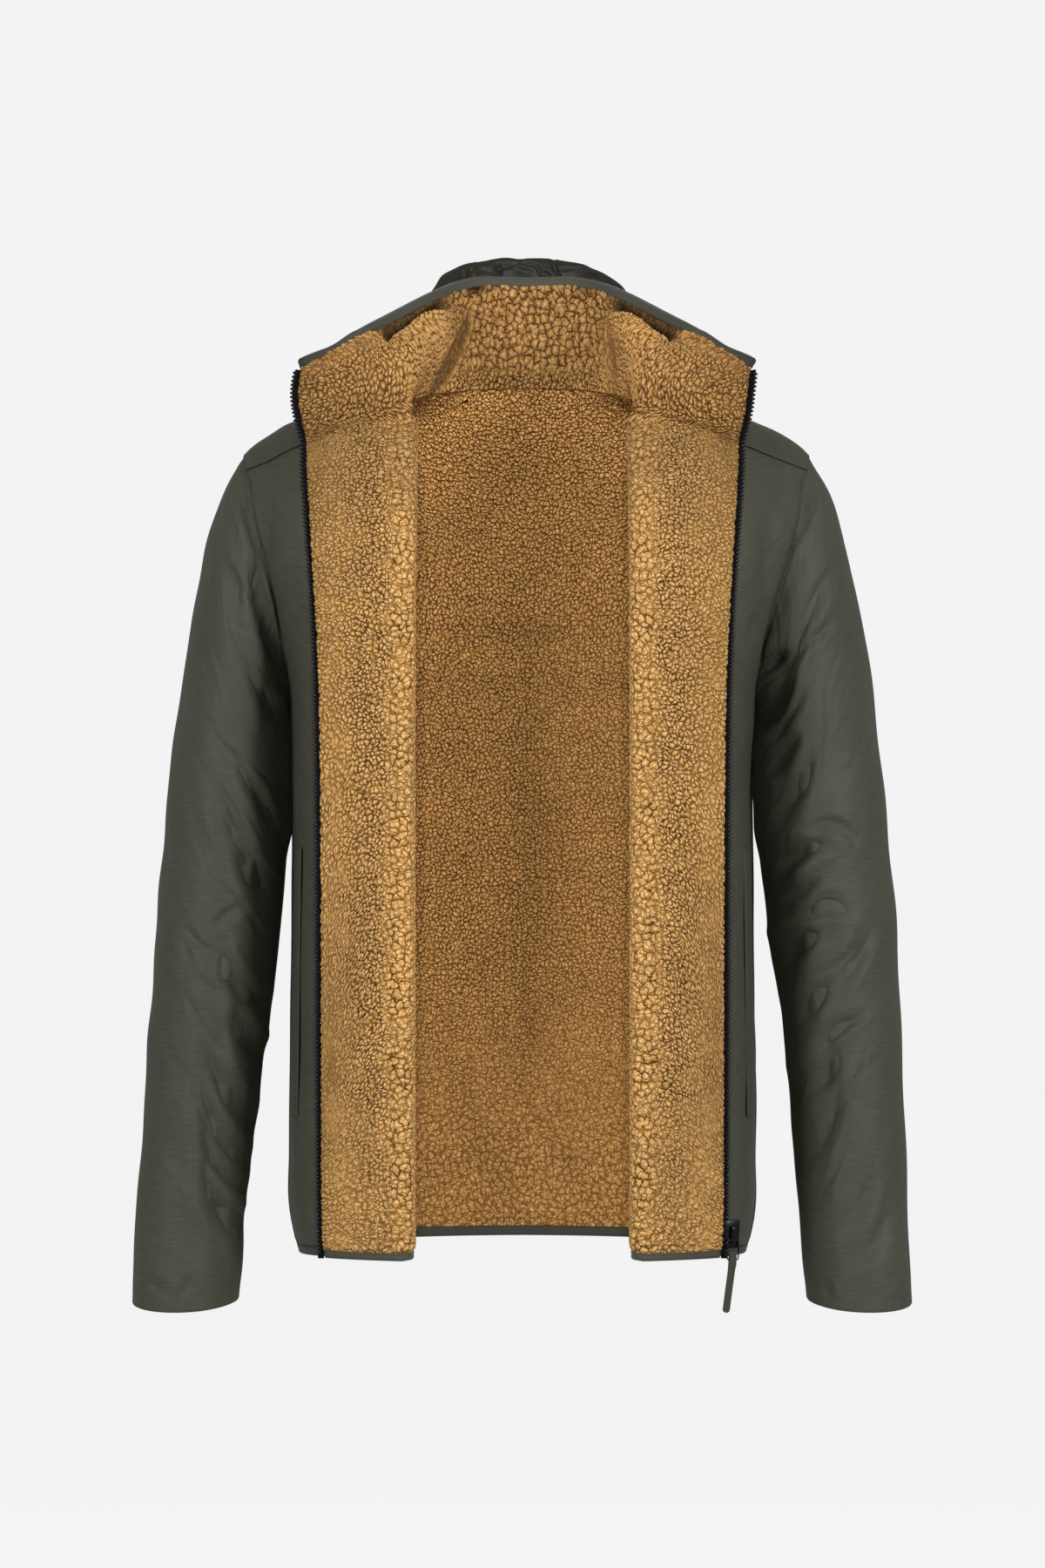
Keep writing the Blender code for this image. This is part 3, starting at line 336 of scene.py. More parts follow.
def hermite(start, end, leave, arrive, t):
    rise = 3 * t**2 - 2 * t**3
    return start * (1 - rise) + end * rise + leave * (t**3 - 2 * t**2 + t) + arrive * (t**3 - t**2)


class Track:
    """A smooth curve through the rows of a table, read at any places along its first column."""

    def __init__(self, rows):
        self.places = np.array([row[0] for row in rows], float)
        self.values = np.array([np.concatenate([np.ravel(v) for v in row[1:]]) for row in rows])
        steps = np.diff(self.places)[:, None]
        slopes = np.diff(self.values, axis=0) / steps
        middle = (slopes[1:] * steps[:-1] + slopes[:-1] * steps[1:]) / (steps[1:] + steps[:-1])
        self.slopes = np.vstack([slopes[:1], middle, slopes[-1:]])

    def __call__(self, place):
        place = np.asarray(place, float)
        i = np.clip(np.searchsorted(self.places, place) - 1, 0, len(self.places) - 2)
        step = self.places[i + 1] - self.places[i]
        t = np.clip((place - self.places[i]) / step, 0.0, 1.0)[..., None]
        step = step[..., None]
        found = hermite(self.values[i], self.values[i + 1], self.slopes[i] * step, self.slopes[i + 1] * step, t)
        return found[..., 0] if found.shape[-1] == 1 else found


def through(points, t):
    """Points on the smooth curves through a few points each, from 0 at the first to 1 at the last."""
    points, t = np.asarray(points, float), np.asarray(t, float)
    last = len(points) - 1
    chords = np.diff(points, axis=0)
    lengths = np.maximum(np.linalg.norm(chords, axis=-1, keepdims=True), 1e-6)
    headings = chords / lengths
    inner = (headings[:-1] * lengths[1:] + headings[1:] * lengths[:-1]) / (lengths[:-1] + lengths[1:])
    headings = np.concatenate([headings[:1], inner, headings[-1:]])
    i = np.clip((t * last).astype(int), 0, last - 1)

    def pick(values, k):
        return np.take_along_axis(values, k[None, ..., None], axis=0)[0]

    length = pick(lengths, i)
    leave, arrive = pick(headings, i) * length, pick(headings, i + 1) * length
    return hermite(pick(points, i), pick(points, i + 1), leave, arrive, (t * last - i)[..., None])


torso, shoulder_seam, neck_seam = Track(TORSO), Track(SHOULDER_SEAM), Track(NECK_SEAM)
zip_edge, collar_heights = Track(ZIP_EDGE), Track(COLLAR)
fold_height = Track(((0.0, HEM_FRONT), (ROW_ARMPIT, -236.0), (ROW_SHOULDER, -84.0), (1.0, NECK_AT_FOLD)))
back_height = Track(((0.0, HEM_BACK), (ROW_ARMPIT, -228.0), (ROW_SHOULDER, -72.0), (1.0, NAPE_Z)))
print("chest half width and depths at -150 mm:", np.round(torso(-150.0), 1).tolist())


# %% [markdown]
# The body's sections are rounded boxes. A front and a back are read between their outer edge, which is the side
# seam, the armhole and the shoulder, and their inner one. The front carries on past its fold in a shallow bow.

# %% Body, fronts and back
def body_point(angle, z):
    """Points on the outside of the body. The angle is 0 in front, 90 at the side and 180 behind."""
    angle, z = np.broadcast_arrays(np.asarray(angle, float), np.asarray(z, float))
    width, ahead, behind = np.moveaxis(torso(z), -1, 0)
    turn, power = np.radians(angle), 2.0 / SQUARENESS
    depth = np.abs(np.cos(turn)) ** power
    x = width * np.maximum(0.0, np.sin(turn)) ** power
    return np.stack([x, np.where(angle < 90.0, -ahead * depth, behind * depth), z], axis=-1)


def angle_at_x(x, z):
    return np.degrees(np.arcsin(np.minimum(1.0, np.abs(x) / torso(z)[..., 0]) ** (SQUARENESS / 2.0)))


def angle_at_depth(y, z):
    _, ahead, behind = np.moveaxis(torso(z), -1, 0)
    lean = np.minimum(1.0, np.abs(y) / np.where(y < 0, ahead, behind)) ** (SQUARENESS / 2.0)
    turn = np.degrees(np.arccos(lean))
    return np.where(y < 0, turn, 180.0 - turn)


def body_facing(points):
    """The outward directions of the body at points on its +X half."""
    z = points[..., 2]
    angle = angle_at_x(points[..., 0], z)
    angle = np.where(points[..., 1] < 0, angle, 180.0 - angle)
    along = body_point(angle + 1.5, z) - body_point(angle - 1.5, z)
    upward = body_point(angle, z + 1.0) - body_point(angle, z - 1.0)
    return unit(np.cross(along, upward))


def armhole(turn):
    """Angle round the body and height of the armhole. turn is 0 at its top and 90 in front."""
    turn = np.radians(turn)
    middle, half = (ARMHOLE_TOP + ARMHOLE_BOTTOM) / 2, (ARMHOLE_TOP - ARMHOLE_BOTTOM) / 2
    side, z = np.sin(turn), middle + half * np.cos(turn)
    return angle_at_depth(-side * np.where(side > 0, ARMHOLE_FRONT, ARMHOLE_BACK), z), z


def front_outer_edge(up):
    """Side seam, front of the armhole and forward shoulder seam, as angle and height."""
    side_z = HEM_SIDE + (ARMHOLE_BOTTOM - HEM_SIDE) * up / ROW_ARMPIT
    t = np.clip((up - ROW_ARMPIT) / (ROW_SHOULDER - ROW_ARMPIT), 0.0, 1.0)
    hole_angle, hole_z = armhole(180.0 + (SHOULDER_FRONT_ANGLE - 180.0) * t)
    t = np.clip((up - ROW_SHOULDER) / (1.0 - ROW_SHOULDER), 0.0, 1.0)
    x = SHOULDER_SEAM[-1][0] + (SHOULDER_SEAM[0][0] - SHOULDER_SEAM[-1][0]) * t
    seam_z = shoulder_seam(x)
    low, middle = up <= ROW_ARMPIT, up <= ROW_SHOULDER
    angle = np.where(low, 90.0, np.where(middle, hole_angle, angle_at_x(x, seam_z)))
    return angle, np.where(low, side_z, np.where(middle, hole_z, seam_z))


def front(across, up):
    """The outside of a front's shell, from the side seam round the fold to the zip."""
    across, up = np.broadcast_arrays(np.asarray(across, float), np.asarray(up, float))
    z = fold_height(up)
    angle = angle_at_x(FOLD_X, z)
    outer_angle, outer_z = front_outer_edge(up)
    t = np.clip(across / FOLD_FROM, 0.0, 1.0)
    chest = body_point(outer_angle + (angle - outer_angle) * t, outer_z + (z - outer_z) * t)
    start = body_point(angle, z)
    inward = unit((body_point(angle - 2.0, z) - start) * (1.0, 1.0, 0.0))
    forward = np.stack([-inward[..., 1], inward[..., 0], np.zeros_like(z)], axis=-1)
    forward = np.where(forward[..., 1:2] > 0, -forward, forward)
    turn = (math.pi * np.clip((across - FOLD_FROM) / (FOLD_TO - FOLD_FROM), 0.0, 1.0))[..., None]
    fold = start + FOLD_RADIUS * (forward * (1 - np.cos(turn)) + inward * np.sin(turn))
    t = np.clip((across - FOLD_TO) / (1 - FOLD_TO), 0.0, 1.0)[..., None]
    end, edge = start + 2 * FOLD_RADIUS * forward, zip_edge(up)
    bend = end - inward * LAPEL_BOW * np.linalg.norm(edge - end, axis=-1, keepdims=True)
    lapel = end * (1 - t) ** 2 + bend * 2 * t * (1 - t) + edge * t**2
    place = across[..., None]
    return np.where(place <= FOLD_FROM, chest, np.where(place <= FOLD_TO, fold, lapel))


def back(across, up):
    """The outside of half the back's shell, from the side seam to the centre."""
    across, up = np.broadcast_arrays(np.asarray(across, float), np.asarray(up, float))
    side_z = HEM_SIDE + (ARMHOLE_BOTTOM - HEM_SIDE) * up / ROW_ARMPIT
    t = np.clip((up - ROW_ARMPIT) / (ROW_SHOULDER - ROW_ARMPIT), 0.0, 1.0)
    hole_angle, hole_z = armhole(180.0 + 180.0 * t)
    arch = np.clip((up - ROW_SHOULDER) / (1 - ROW_SHOULDER), 0.0, 1.0)
    ridge_z = ARMHOLE_TOP + (neck_seam(90.0) - ARMHOLE_TOP) * arch**RIDGE_CLIMB
    low, middle = up <= ROW_ARMPIT, up <= ROW_SHOULDER
    outer_angle = np.where(low, 90.0, np.where(middle, hole_angle, 90.0))
    outer_z = np.where(low, side_z, np.where(middle, hole_z, ridge_z))
    angle = outer_angle + (180.0 - outer_angle) * across
    level = outer_z + (back_height(up) - outer_z) * across
    along_seam = neck_seam(angle) - (neck_seam(90.0) + (NAPE_Z - neck_seam(90.0)) * across)
    return body_point(angle, level + np.where(middle, 0.0, along_seam * arch))


def shoulder(forward, up):
    """The part of the back that comes over the shoulder, from its ridge to the forward seam."""
    forward, up = np.broadcast_arrays(np.asarray(forward, float), np.asarray(up, float))
    t = np.clip((up - ROW_SHOULDER) / (1 - ROW_SHOULDER), 0.0, 1.0)
    hole = body_point(*armhole(SHOULDER_FRONT_ANGLE * forward))
    ridge_z = ARMHOLE_TOP + (neck_seam(90.0) - ARMHOLE_TOP) * t**RIDGE_CLIMB
    seam_x = SHOULDER_SEAM[-1][0] + (SHOULDER_SEAM[0][0] - SHOULDER_SEAM[-1][0]) * t
    z = ridge_z + (shoulder_seam(seam_x) - ridge_z) * forward + SHOULDER_SWELL * forward * (1 - forward) * (1 - t)
    x = torso(ridge_z)[..., 0] + (seam_x - torso(ridge_z)[..., 0]) * forward
    over = body_point(angle_at_x(x, z), z)
    ridge = body_point(90.0, ridge_z)
    return np.where(t[..., None] <= 0.0, hole, np.where(forward[..., None] <= 0.0, ridge, over))


# %% [markdown]
# The collar rises from the neck seam, over a roll and a dip, to its bound edge. The puffed roll stands on that
# edge, and the sleeve starts as the armhole's own outline, so the seam between them closes.

# %% Neck, collar, roll and sleeve
def neck(around):
    """The neck seam, from the nape round the neck and along the turned-back front to the zip."""
    around = np.asarray(around, float)
    behind = back(np.clip(1.0 - around / NECK_SIDE, 0.0, 1.0), np.ones_like(around))
    over = shoulder(np.clip((around - NECK_SIDE) / (NECK_SHOULDER - NECK_SIDE), 0.0, 1.0), np.ones_like(around))
    stops = (NECK_SHOULDER, NECK_FOLD, NECK_LAPEL, 1.0)
    ahead = front(np.interp(around, stops, (0.0, FOLD_FROM, FOLD_TO, 1.0)), np.ones_like(around))
    place = around[..., None]
    return np.where(place <= NECK_SIDE, behind, np.where(place <= NECK_SHOULDER, over, ahead))


def collar(around, up):
    """The outside of the collar's shell; around is 0 at the nape and 1 at the zip, and -1 on the other side."""
    around, up = np.broadcast_arrays(np.asarray(around, float), np.asarray(up, float))
    stations = collar_heights(np.abs(around))
    points = through((neck(np.abs(around)), stations[..., 0:3], stations[..., 3:6], stations[..., 6:9]), up)
    points[..., 0] *= np.where(around < 0, -1.0, 1.0)
    return points


def collar_out(around, up):
    """The directions in which the collar's shell faces."""
    along = collar(around + 0.004, up) - collar(around - 0.004, up)
    upward = collar(around, np.minimum(up + 0.02, 1.0)) - collar(around, np.maximum(up - 0.02, 0.0))
    return unit(np.cross(upward, along))


def roll(around, k):
    """The outside of the puffed roll: k runs along its section, from its foot behind the binding."""
    around, k = np.broadcast_arrays(np.asarray(around, float), np.asarray(k, float))
    edge, out = collar(around, 1.0), collar_out(around, 1.0)
    upward = unit(edge - collar(around, 0.9))
    full = np.maximum(0.0, 1.0 - (np.abs(around) / ROLL_TO) ** 1.9)
    section = through([np.broadcast_to(np.array(row), k.shape + (2,)) for row in ROLL_SECTION], k)
    depth = ROLL_CLEAR + section[..., 0] * (0.25 + 0.75 * full**0.6)
    height = section[..., 1]
    top = max(row[1] for row in ROLL_SECTION)
    height = height * np.where(height > 0, (ROLL_LOW + ROLL_RISE * full) / top, 0.35 + 0.65 * full)
    return edge + out * depth[..., None] + upward * height[..., None]


def sleeve(turn, down):
    """The outside of the wearer's left sleeve, from the armhole to the cuff. turn is 0 outside and 90 in front."""
    turn, down = np.broadcast_arrays(np.asarray(turn, float), np.asarray(down, float))
    side = np.radians(turn)
    t = 0.5 + 0.5 * np.cos(side)
    rings = [body_point(*armhole(turn % 360.0))]
    for outer_x, outer_z, inner_x, inner_z, half_depth, middle_y in SLEEVE:
        y = middle_y - half_depth * np.sign(np.sin(side)) * np.abs(np.sin(side)) ** SLEEVE_BOXY
        rings.append(np.stack([inner_x + (outer_x - inner_x) * t, y, inner_z + (outer_z - inner_z) * t], axis=-1))
    points = through(rings, down)
    inner = eased(0.34 - t, 0.0, 0.34) * eased(np.sin(side), 0.0, 0.4)
    points[..., 1] += INNER_HOLLOW * inner * eased(down, 0.05, 0.2) * (1.0 - 0.6 * eased(down, 0.75, 1.0))
    closing = eased(points[..., 2], -352.0, -325.0) * (1.0 - eased(points[..., 2], -214.0, -196.0))
    points[..., 0] -= DRAWN_IN * closing * eased(-np.cos(side), 0.3, 0.9)
    points[..., 2] -= CUFF_DIP * np.sin(side) * eased(down, 0.8, 1.0)
    return points


def settled(points):
    """Where points end up once the garment has settled a little unevenly."""
    points = np.array(points, float)
    x, z = points[..., 0].copy(), points[..., 2]
    points[..., 0] += LEAN * eased(z, LEAN_FROM, LEAN_TO) * eased(np.abs(x), 181.0, 200.0)
    points[..., 0] += COLLAR_LEAN * eased(z, 0.0, 50.0) * (1.0 - eased(z, 100.0, 125.0))
    return points


print("zip edge at the hem and the neck:", np.round(front(1.0, np.array([0.0, 1.0])), 1).tolist())


# %% [markdown]
# ## From places to cloth
#
# A sheet starts as a flat grid of squares and its points are moved onto the form, as a cutter's flat piece is
# moved onto a body. Each sheet keeps a UV map called "cut" whose unit is one metre of flat cloth, so that curls,
# weave and ribs have their real size wherever the cloth goes.

# %% Sheets
SPACING_LEVEL = 0.3  # share of the way up a panel
FINE_STEP, COARSE_STEP = 1.2, 5.0  # mm between the points of a lining, where it shows and where it is hidden


def evenly(curve, start, end, step):
    """Places from start to end whose points along a curve lie about step millimetres apart."""
    fine = np.linspace(start, end, 600)
    along = np.concatenate([[0.0], np.cumsum(np.linalg.norm(np.diff(curve(fine), axis=0), axis=1))])
    count = max(2, int(round(along[-1] / step)) + 1)
    return np.interp(np.linspace(0.0, along[-1], count), along, fine)


def joined(*stretches):
    """One rising row of places from stretches that meet end to end."""
    return np.concatenate([stretches[0]] + [stretch[1:] for stretch in stretches[1:]])


def front_across(start, end, step):
    """Places across a front, spaced evenly at one level."""
    return evenly(lambda t: front(t, SPACING_LEVEL), start, end, step)


def back_across(start, end, step):
    """The same across half the back."""
    return evenly(lambda t: back(t, SPACING_LEVEL), start, end, step)


def square_to(points):
    """Unit directions square to a grid of points: its rows run across and up, and this is across x up."""
    return unit(np.cross(np.gradient(points, axis=1), np.gradient(points, axis=0)))


def flat_places(points, column=0):
    """The flat cloth's coordinates in metres: along each row from a column, and up that column."""
    steps = np.linalg.norm(np.diff(points, axis=1), axis=-1)
    across = np.concatenate([np.zeros((len(points), 1)), np.cumsum(steps, axis=1)], axis=1)
    across -= across[:, column : column + 1]
    climb = np.linalg.norm(np.diff(points[:, column], axis=0), axis=-1)
    upward = np.concatenate([[0.0], np.cumsum(climb)])
    return np.stack([across, np.broadcast_to(upward[:, None], across.shape)], axis=-1) * MM


def mirrored(points, side=-1.0):
    return points * (side, 1.0, 1.0)


def triangles(item):
    return sum(len(face.vertices) - 2 for face in item.data.polygons)


def dressed(name, mesh, material, body="jacket"):
    """An object for a finished mesh, with its material, riding on a body."""
    mesh.materials.clear()
    mesh.materials.append(material)
    mesh.shade_smooth()
    item = bpy.data.objects.new(name, mesh)
    bpy.context.scene.collection.objects.link(item)
    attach(item, body)
    return item


def applied(item):
    """Replaces an object's mesh by what its modifiers make of it."""
    shown = item.evaluated_get(bpy.context.evaluated_depsgraph_get())
    made = bpy.data.meshes.new_from_object(shown)
    item.modifiers.clear()
    item.data = made
    made.shade_smooth()


def sheet_piece(name, blocks, material, weld=0.0, thickness=0.0):
    """One object from grids: each block is (points, flat places, whether to turn its faces over, values).

    weld is the distance in metres within which points join, and thickness gives the cloth a wall in mm.
    """
    work = bmesh.new()
    for points, flat, turned, values in blocks:
        before = len(work.faces)
        rows, columns = points.shape[:2]
        bmesh.ops.create_grid(work, x_segments=columns - 1, y_segments=rows - 1, size=1.0)
        if turned:
            work.faces.ensure_lookup_table()
            bmesh.ops.reverse_faces(work, faces=work.faces[before:])
    mesh = bpy.data.meshes.new(name)
    work.to_mesh(mesh)
    work.free()
    places = np.concatenate([settled(block[0]).reshape(-1, 3) for block in blocks])
    mesh.vertices.foreach_set("co", (places * MM).astype(np.float32).ravel())
    corners = np.zeros(len(mesh.loops), np.int32)
    mesh.loops.foreach_get("vertex_index", corners)
    flats = np.concatenate([np.ascontiguousarray(block[1]).reshape(-1, 2) for block in blocks])
    mesh.uv_layers.new(name="cut").data.foreach_set("uv", flats[corners].astype(np.float32).ravel())
    for key in blocks[0][3]:
        parts = [np.broadcast_to(block[3][key], block[0].shape[:2]).ravel() for block in blocks]
        layer = mesh.attributes.new(key, "FLOAT", "POINT")
        layer.data.foreach_set("value", np.concatenate(parts).astype(np.float32))
    if weld:
        work = bmesh.new()
        work.from_mesh(mesh)
        bmesh.ops.remove_doubles(work, verts=work.verts, dist=weld)
        work.to_mesh(mesh)
        work.free()
    item = dressed(name, mesh, material)
    if thickness:
        solid = item.modifiers.new("thickness", "SOLIDIFY")
        solid.thickness = thickness * MM
        solid.offset = -1.0
        applied(item)
    print(f"{name}: {triangles(item)} triangles")
    return item


def replace_solids(item, slot, *nodes):
    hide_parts(*nodes)


# %% [markdown]
# Folds are placed one by one. Each row of a table is one fold as it is seen from the front or from behind: where it
# starts and ends, how far its middle bows to the side, how deep it is and how wide. A fold is a soft trough with a
# low ridge on both sides, because the cloth that sinks in one place has to rise beside it. A little random
# swelling, in waves of about one size, keeps the cloth between them from being dead smooth.

# %% Folds and swelling
def creased(q):
    """The section of a fold: a trough at 0 with a low ridge on both sides."""
    q = np.where(q > 0, 1.3 * q, 0.8 * q)
    return np.exp(-1.2 * np.abs(q) ** 1.25) - 0.32 * np.exp(-(((np.abs(q) - 2.0) / 0.95) ** 2))


def folded(points, seen, table):
    """Heights in mm of a table's folds at points; seen is how much of them each point takes, from 0 to 1."""
    height = np.zeros(points.shape[:-1])
    here = points[..., [0, 2]]
    for x0, z0, x1, z1, bow, deep, half_width in table:
        start, end = np.array([x0, z0]), np.array([x1, z1])
        length = np.linalg.norm(end - start)
        heading = (end - start) / length
        side = np.array([-heading[1], heading[0]])
        t = (here - start) @ heading / length
        away = (here - start) @ side - bow * 4.0 * np.clip(t, 0.0, 1.0) * (1.0 - np.clip(t, 0.0, 1.0))
        taper = eased(t, -0.22, 0.42) * (1.0 - eased(t, 0.55, 1.3))
        height -= deep * taper * creased(away / (half_width * (1.0 + 0.25 * np.clip(t, -0.2, 1.3))))
    return height * seen


def swelling(points, size, seed, amount):
    """A gentle random swelling, from waves of about one size in many directions."""
    rng = np.random.default_rng(seed)
    total = np.zeros(points.shape[:-1])
    for _ in range(14):
        direction = unit(rng.normal(size=3))
        wave = 2 * math.pi / (size * rng.uniform(0.7, 1.6))
        total += np.sin(points @ direction * wave + rng.uniform(0, 2 * math.pi))
    return total * amount / 3.7  # about the root of the number of waves, which keeps the usual height at amount


# %% [markdown]
# ## Pile
#
# The lining is a knitted pile: short curls of yarn that felt together into pebbles with dark crevices between
# them. Two things make it read as pile. The pebbles have real relief, so the outline is soft and the light
# catches each one, and the fibres on them scatter light. The same pattern of cells drives both: once in a
# geometry tree that moves the sheet's points, and once in the material, where it paints shade into the crevices
# that are thinner than the mesh is fine and paints the pebbles' tops paler, a painted highlight.

# %% The pattern of the curls
def curls(tree, flat, size_mm, stretch, depth, opened):
    """Adds the curls to a tree: pebbles of about a size across, stretched along the nap.

    Gives the rounded form of the pebbles, from 0 to 1, and how clear of a crevice each place is, from 0 to 1.
    depth is how deep the crevices are, and opened is how far the pebbles part into larger ones.
    """

    def moved(where, scale, amount):
        """Places pushed about by a noise, so that no two pebbles are alike."""
        drift = add(tree, NOISE, FLAT, {"Vector": where, "Scale": scale, "Detail": 1.0}).outputs["Color"]
        centred = add(tree, VECTORS, {"operation": "SUBTRACT"}, {0: drift, 1: (0.5,) * 3})
        shift = add(tree, VECTORS, {"operation": "SCALE"}, {0: centred, "Scale": amount})
        return add(tree, VECTORS, {"operation": "ADD"}, {0: where, 1: shift})

    def pebbles(where, scale, sharp, soft, full, least):
        """Pebbles of one size: their rounded form and the lines between them, faint where two middles are close."""
        inputs = {"Vector": where, "Scale": scale, "Randomness": 0.95}
        reach = add(tree, CELLS, {"voronoi_dimensions": "2D", "feature": "F1"}, inputs)
        edge = add(tree, CELLS, {"voronoi_dimensions": "2D", "feature": "DISTANCE_TO_EDGE"}, inputs)
        line = add(tree, RANGE, SMOOTH, {"Value": edge, 1: sharp, 2: soft, 3: 1.0, 4: 0.0})
        strength = add(tree, RANGE, SMOOTH, {"Value": reach, 1: 0.25, 2: full, 3: least, 4: 1.0})
        dome = add(tree, RANGE, SMOOTH, {"Value": reach, 1: 0.12, 2: 0.72, 3: 1.0, 4: 0.0})
        return dome, add(tree, MATHS, TIMES, {0: line, 1: strength})

    repeats = (1000.0 / size_mm, 1000.0 / (size_mm * stretch), 1.0)
    place = add(tree, VECTORS, TIMES, {0: flat, 1: repeats})
    warped = moved(moved(place, 0.4, 1.5), 1.6, 0.32)
    dome, line = pebbles(warped, 1.0, 0.02, 0.17, 0.6, 0.5)
    # the crevices fade here and there
    patches = add(tree, NOISE, FLAT, {"Vector": place, "Scale": 0.3, "Detail": 1.0})
    fading = add(tree, RANGE, SMOOTH, {"Value": patches, 1: 0.36, 2: 0.6, 3: 0.75, 4: 1.0})
    line = add(tree, MATHS, TIMES, {0: line, 1: fading})
    # where the pile opens, the pebbles felt together into larger ones
    wide_dome, wide_line = pebbles(moved(warped, 1.1, 0.45), 0.62, 0.01, 0.13, 0.62, 0.3)
    closed = add(tree, RANGE, {}, {"Value": opened, 1: 0.0, 2: 1.0, 3: 1.0, 4: 0.35})
    line = add(tree, MATHS, TIMES, {0: line, 1: closed})
    wide_line = add(tree, MATHS, TIMES, {0: wide_line, 1: opened})
    deepest = add(tree, MATHS, {"operation": "MAXIMUM"}, {0: line, 1: wide_line})
    sunk = add(tree, MATHS, TIMES, {0: deepest, 1: depth})
    clear = add(tree, MATHS, {"operation": "SUBTRACT"}, {0: 1.0, 1: sunk})
    return add(tree, MIX, {}, {"Factor": opened, "A": dome, "B": wide_dome}), clear


def pile_material(name, size_mm, stretch, tones):
    """Curled polyester pile: matte, with painted shade in its crevices and hollows and painted highlight on its
    tops.
    """
    material, tree, shader = new_material(name, tones[1], 0.95, Sheen_Weight=0.08, Sheen_Roughness=0.5)
    shader.inputs["Specular IOR Level"].default_value = 0.08
    shader.inputs["Sheen Tint"].default_value = linear("E8C08A")
    flat = add(tree, "ShaderNodeUVMap", {"uv_map": "cut"})
    depth, opened, painted_shade = (
        add(tree, "ShaderNodeAttribute", {"attribute_name": key}).outputs["Fac"]
        for key in ("depth", "opened", "painted_shade")
    )
    form, clear = curls(tree, flat, size_mm, stretch, depth, opened)
    # single fibres, drawn as coarse as about 1 mm to show at all, and clouds of about 45 mm
    fibres = add(tree, NOISE, FLAT, {"Vector": flat, "Scale": 1100.0, "Detail": 3.0})
    cloud = add(tree, NOISE, FLAT, {"Vector": flat, "Scale": 22.0, "Detail": 2.0})
    dark, pale, tip = (linear(code) for code in tones)
    # painted highlight: the pebbles' tops take the paler tip tone; painted shade: the crevices take the dark tone
    raised = add(tree, MIX, {"data_type": "RGBA"}, {"Factor": form, "A": pale, "B": tip}).outputs[2]
    colour = add(tree, MIX, {"data_type": "RGBA"}, {"Factor": clear, "A": dark, "B": raised}).outputs[2]
    speckle, patches = (fibres, 0.38, 0.62, 0.78, 1.2), (cloud, 0.3, 0.7, 0.93, 1.06)
    shadow = (painted_shade, 0.0, 1.0, 1.0, 0.05)  # painted shade at places that the cloth hides from the light
    tree.links.new(shaded(tree, colour, speckle, patches, shadow), shader.inputs["Base Color"])
    height = add(tree, MATHS, {"operation": "MULTIPLY_ADD"}, {0: clear, 1: 0.8, 2: form})
    curl_bump = add(tree, BUMP, {}, {"Strength": 1.0, "Distance": 0.0015, "Height": height})
    settings = {"Strength": 0.7, "Distance": 0.0003, "Height": fibres, "Normal": curl_bump}
    tree.links.new(add(tree, BUMP, {}, settings).outputs[0], shader.inputs["Normal"])
    return material


def raise_pile(item, size_mm, stretch):
    """Moves the sheet's points out by the curls' height times the sheet's own relief, kept in metres."""
    tree = bpy.data.node_groups.new(f"{item.name}_curls", "GeometryNodeTree")
    tree.interface.new_socket("Geometry", in_out="INPUT", socket_type="NodeSocketGeometry")
    tree.interface.new_socket("Geometry", in_out="OUTPUT", socket_type="NodeSocketGeometry")
    given = tree.nodes.new("NodeGroupInput")
    read = "GeometryNodeInputNamedAttribute"
    flat = add(tree, read, {"data_type": "FLOAT_VECTOR"}, {"Name": "cut"})
    relief, depth, opened = (
        add(tree, read, {"data_type": "FLOAT"}, {"Name": key}) for key in ("relief", "depth", "opened")
    )
    form, clear = curls(tree, flat, size_mm, stretch, depth, opened)
    both = add(tree, MATHS, {"operation": "MULTIPLY_ADD"}, {0: clear, 1: 0.35, 2: form})
    lift = add(tree, MATHS, TIMES, {0: both, 1: relief})
    offset = add(tree, VECTORS, {"operation": "SCALE"}, {0: add(tree, "GeometryNodeInputNormal"), "Scale": lift})
    moved = add(tree, "GeometryNodeSetPosition", {}, {"Geometry": given.outputs[0], "Offset": offset})
    out = tree.nodes.new("NodeGroupOutput")
    tree.links.new(moved.outputs[0], out.inputs[0])
    item.modifiers.new("curls", "NODES").node_group = tree
    applied(item)
    bpy.data.node_groups.remove(tree)


# size of the pebbles in mm and their stretch along the nap, then the tones of crevice (painted shade), pebble and
# tip (painted highlight); the back's tones are a little paler, painted light inside the jacket
BACK_CURL, FRONT_CURL, COLLAR_CURL = (3.0, 1.0), (3.2, 1.0), (3.3, 1.2)
back_pile = pile_material("knitted_pile_back", *BACK_CURL, ("4A2404", "CE954D", "E2AE6A"))
front_pile = pile_material("knitted_pile_front", *FRONT_CURL, ("3E1E04", "C6934F", "DAAC6D"))
collar_pile = pile_material("knitted_pile_collar", *COLLAR_CURL, ("341803", "AE7E44", "C4965B"))


# %% [markdown]
# The pile is a little crushed, so it stands at nine tenths of its free height. At a free edge it rolls over and
# its tips spill past the edge, which is what hides the zip's tape. Only the part of each lining that shows is
# meshed finely; behind the fronts a coarse grid carries on.

# %% Back lining
FINE_FROM = 0.705  # share of the way across half the back where the fine mesh starts
FINE_HALF = float(back(np.array([FINE_FROM]), SPACING_LEVEL)[0, 0])
ROLL_OVER = 6.0  # mm over which the pile rolls down to a free edge
BACK_RELIEF = 1.3
# a hollow down the middle, a slanting ridge above the hem and a dip between the shoulders, in the folds' columns
BACK_HOLLOWS = (
    (0, -110, 4, -560, -6, 1.8, 26),
    (-34, -500, 42, -646, -6, -4.6, 11),
    (-60, -168, 66, -170, 0, 1.6, 8),
)


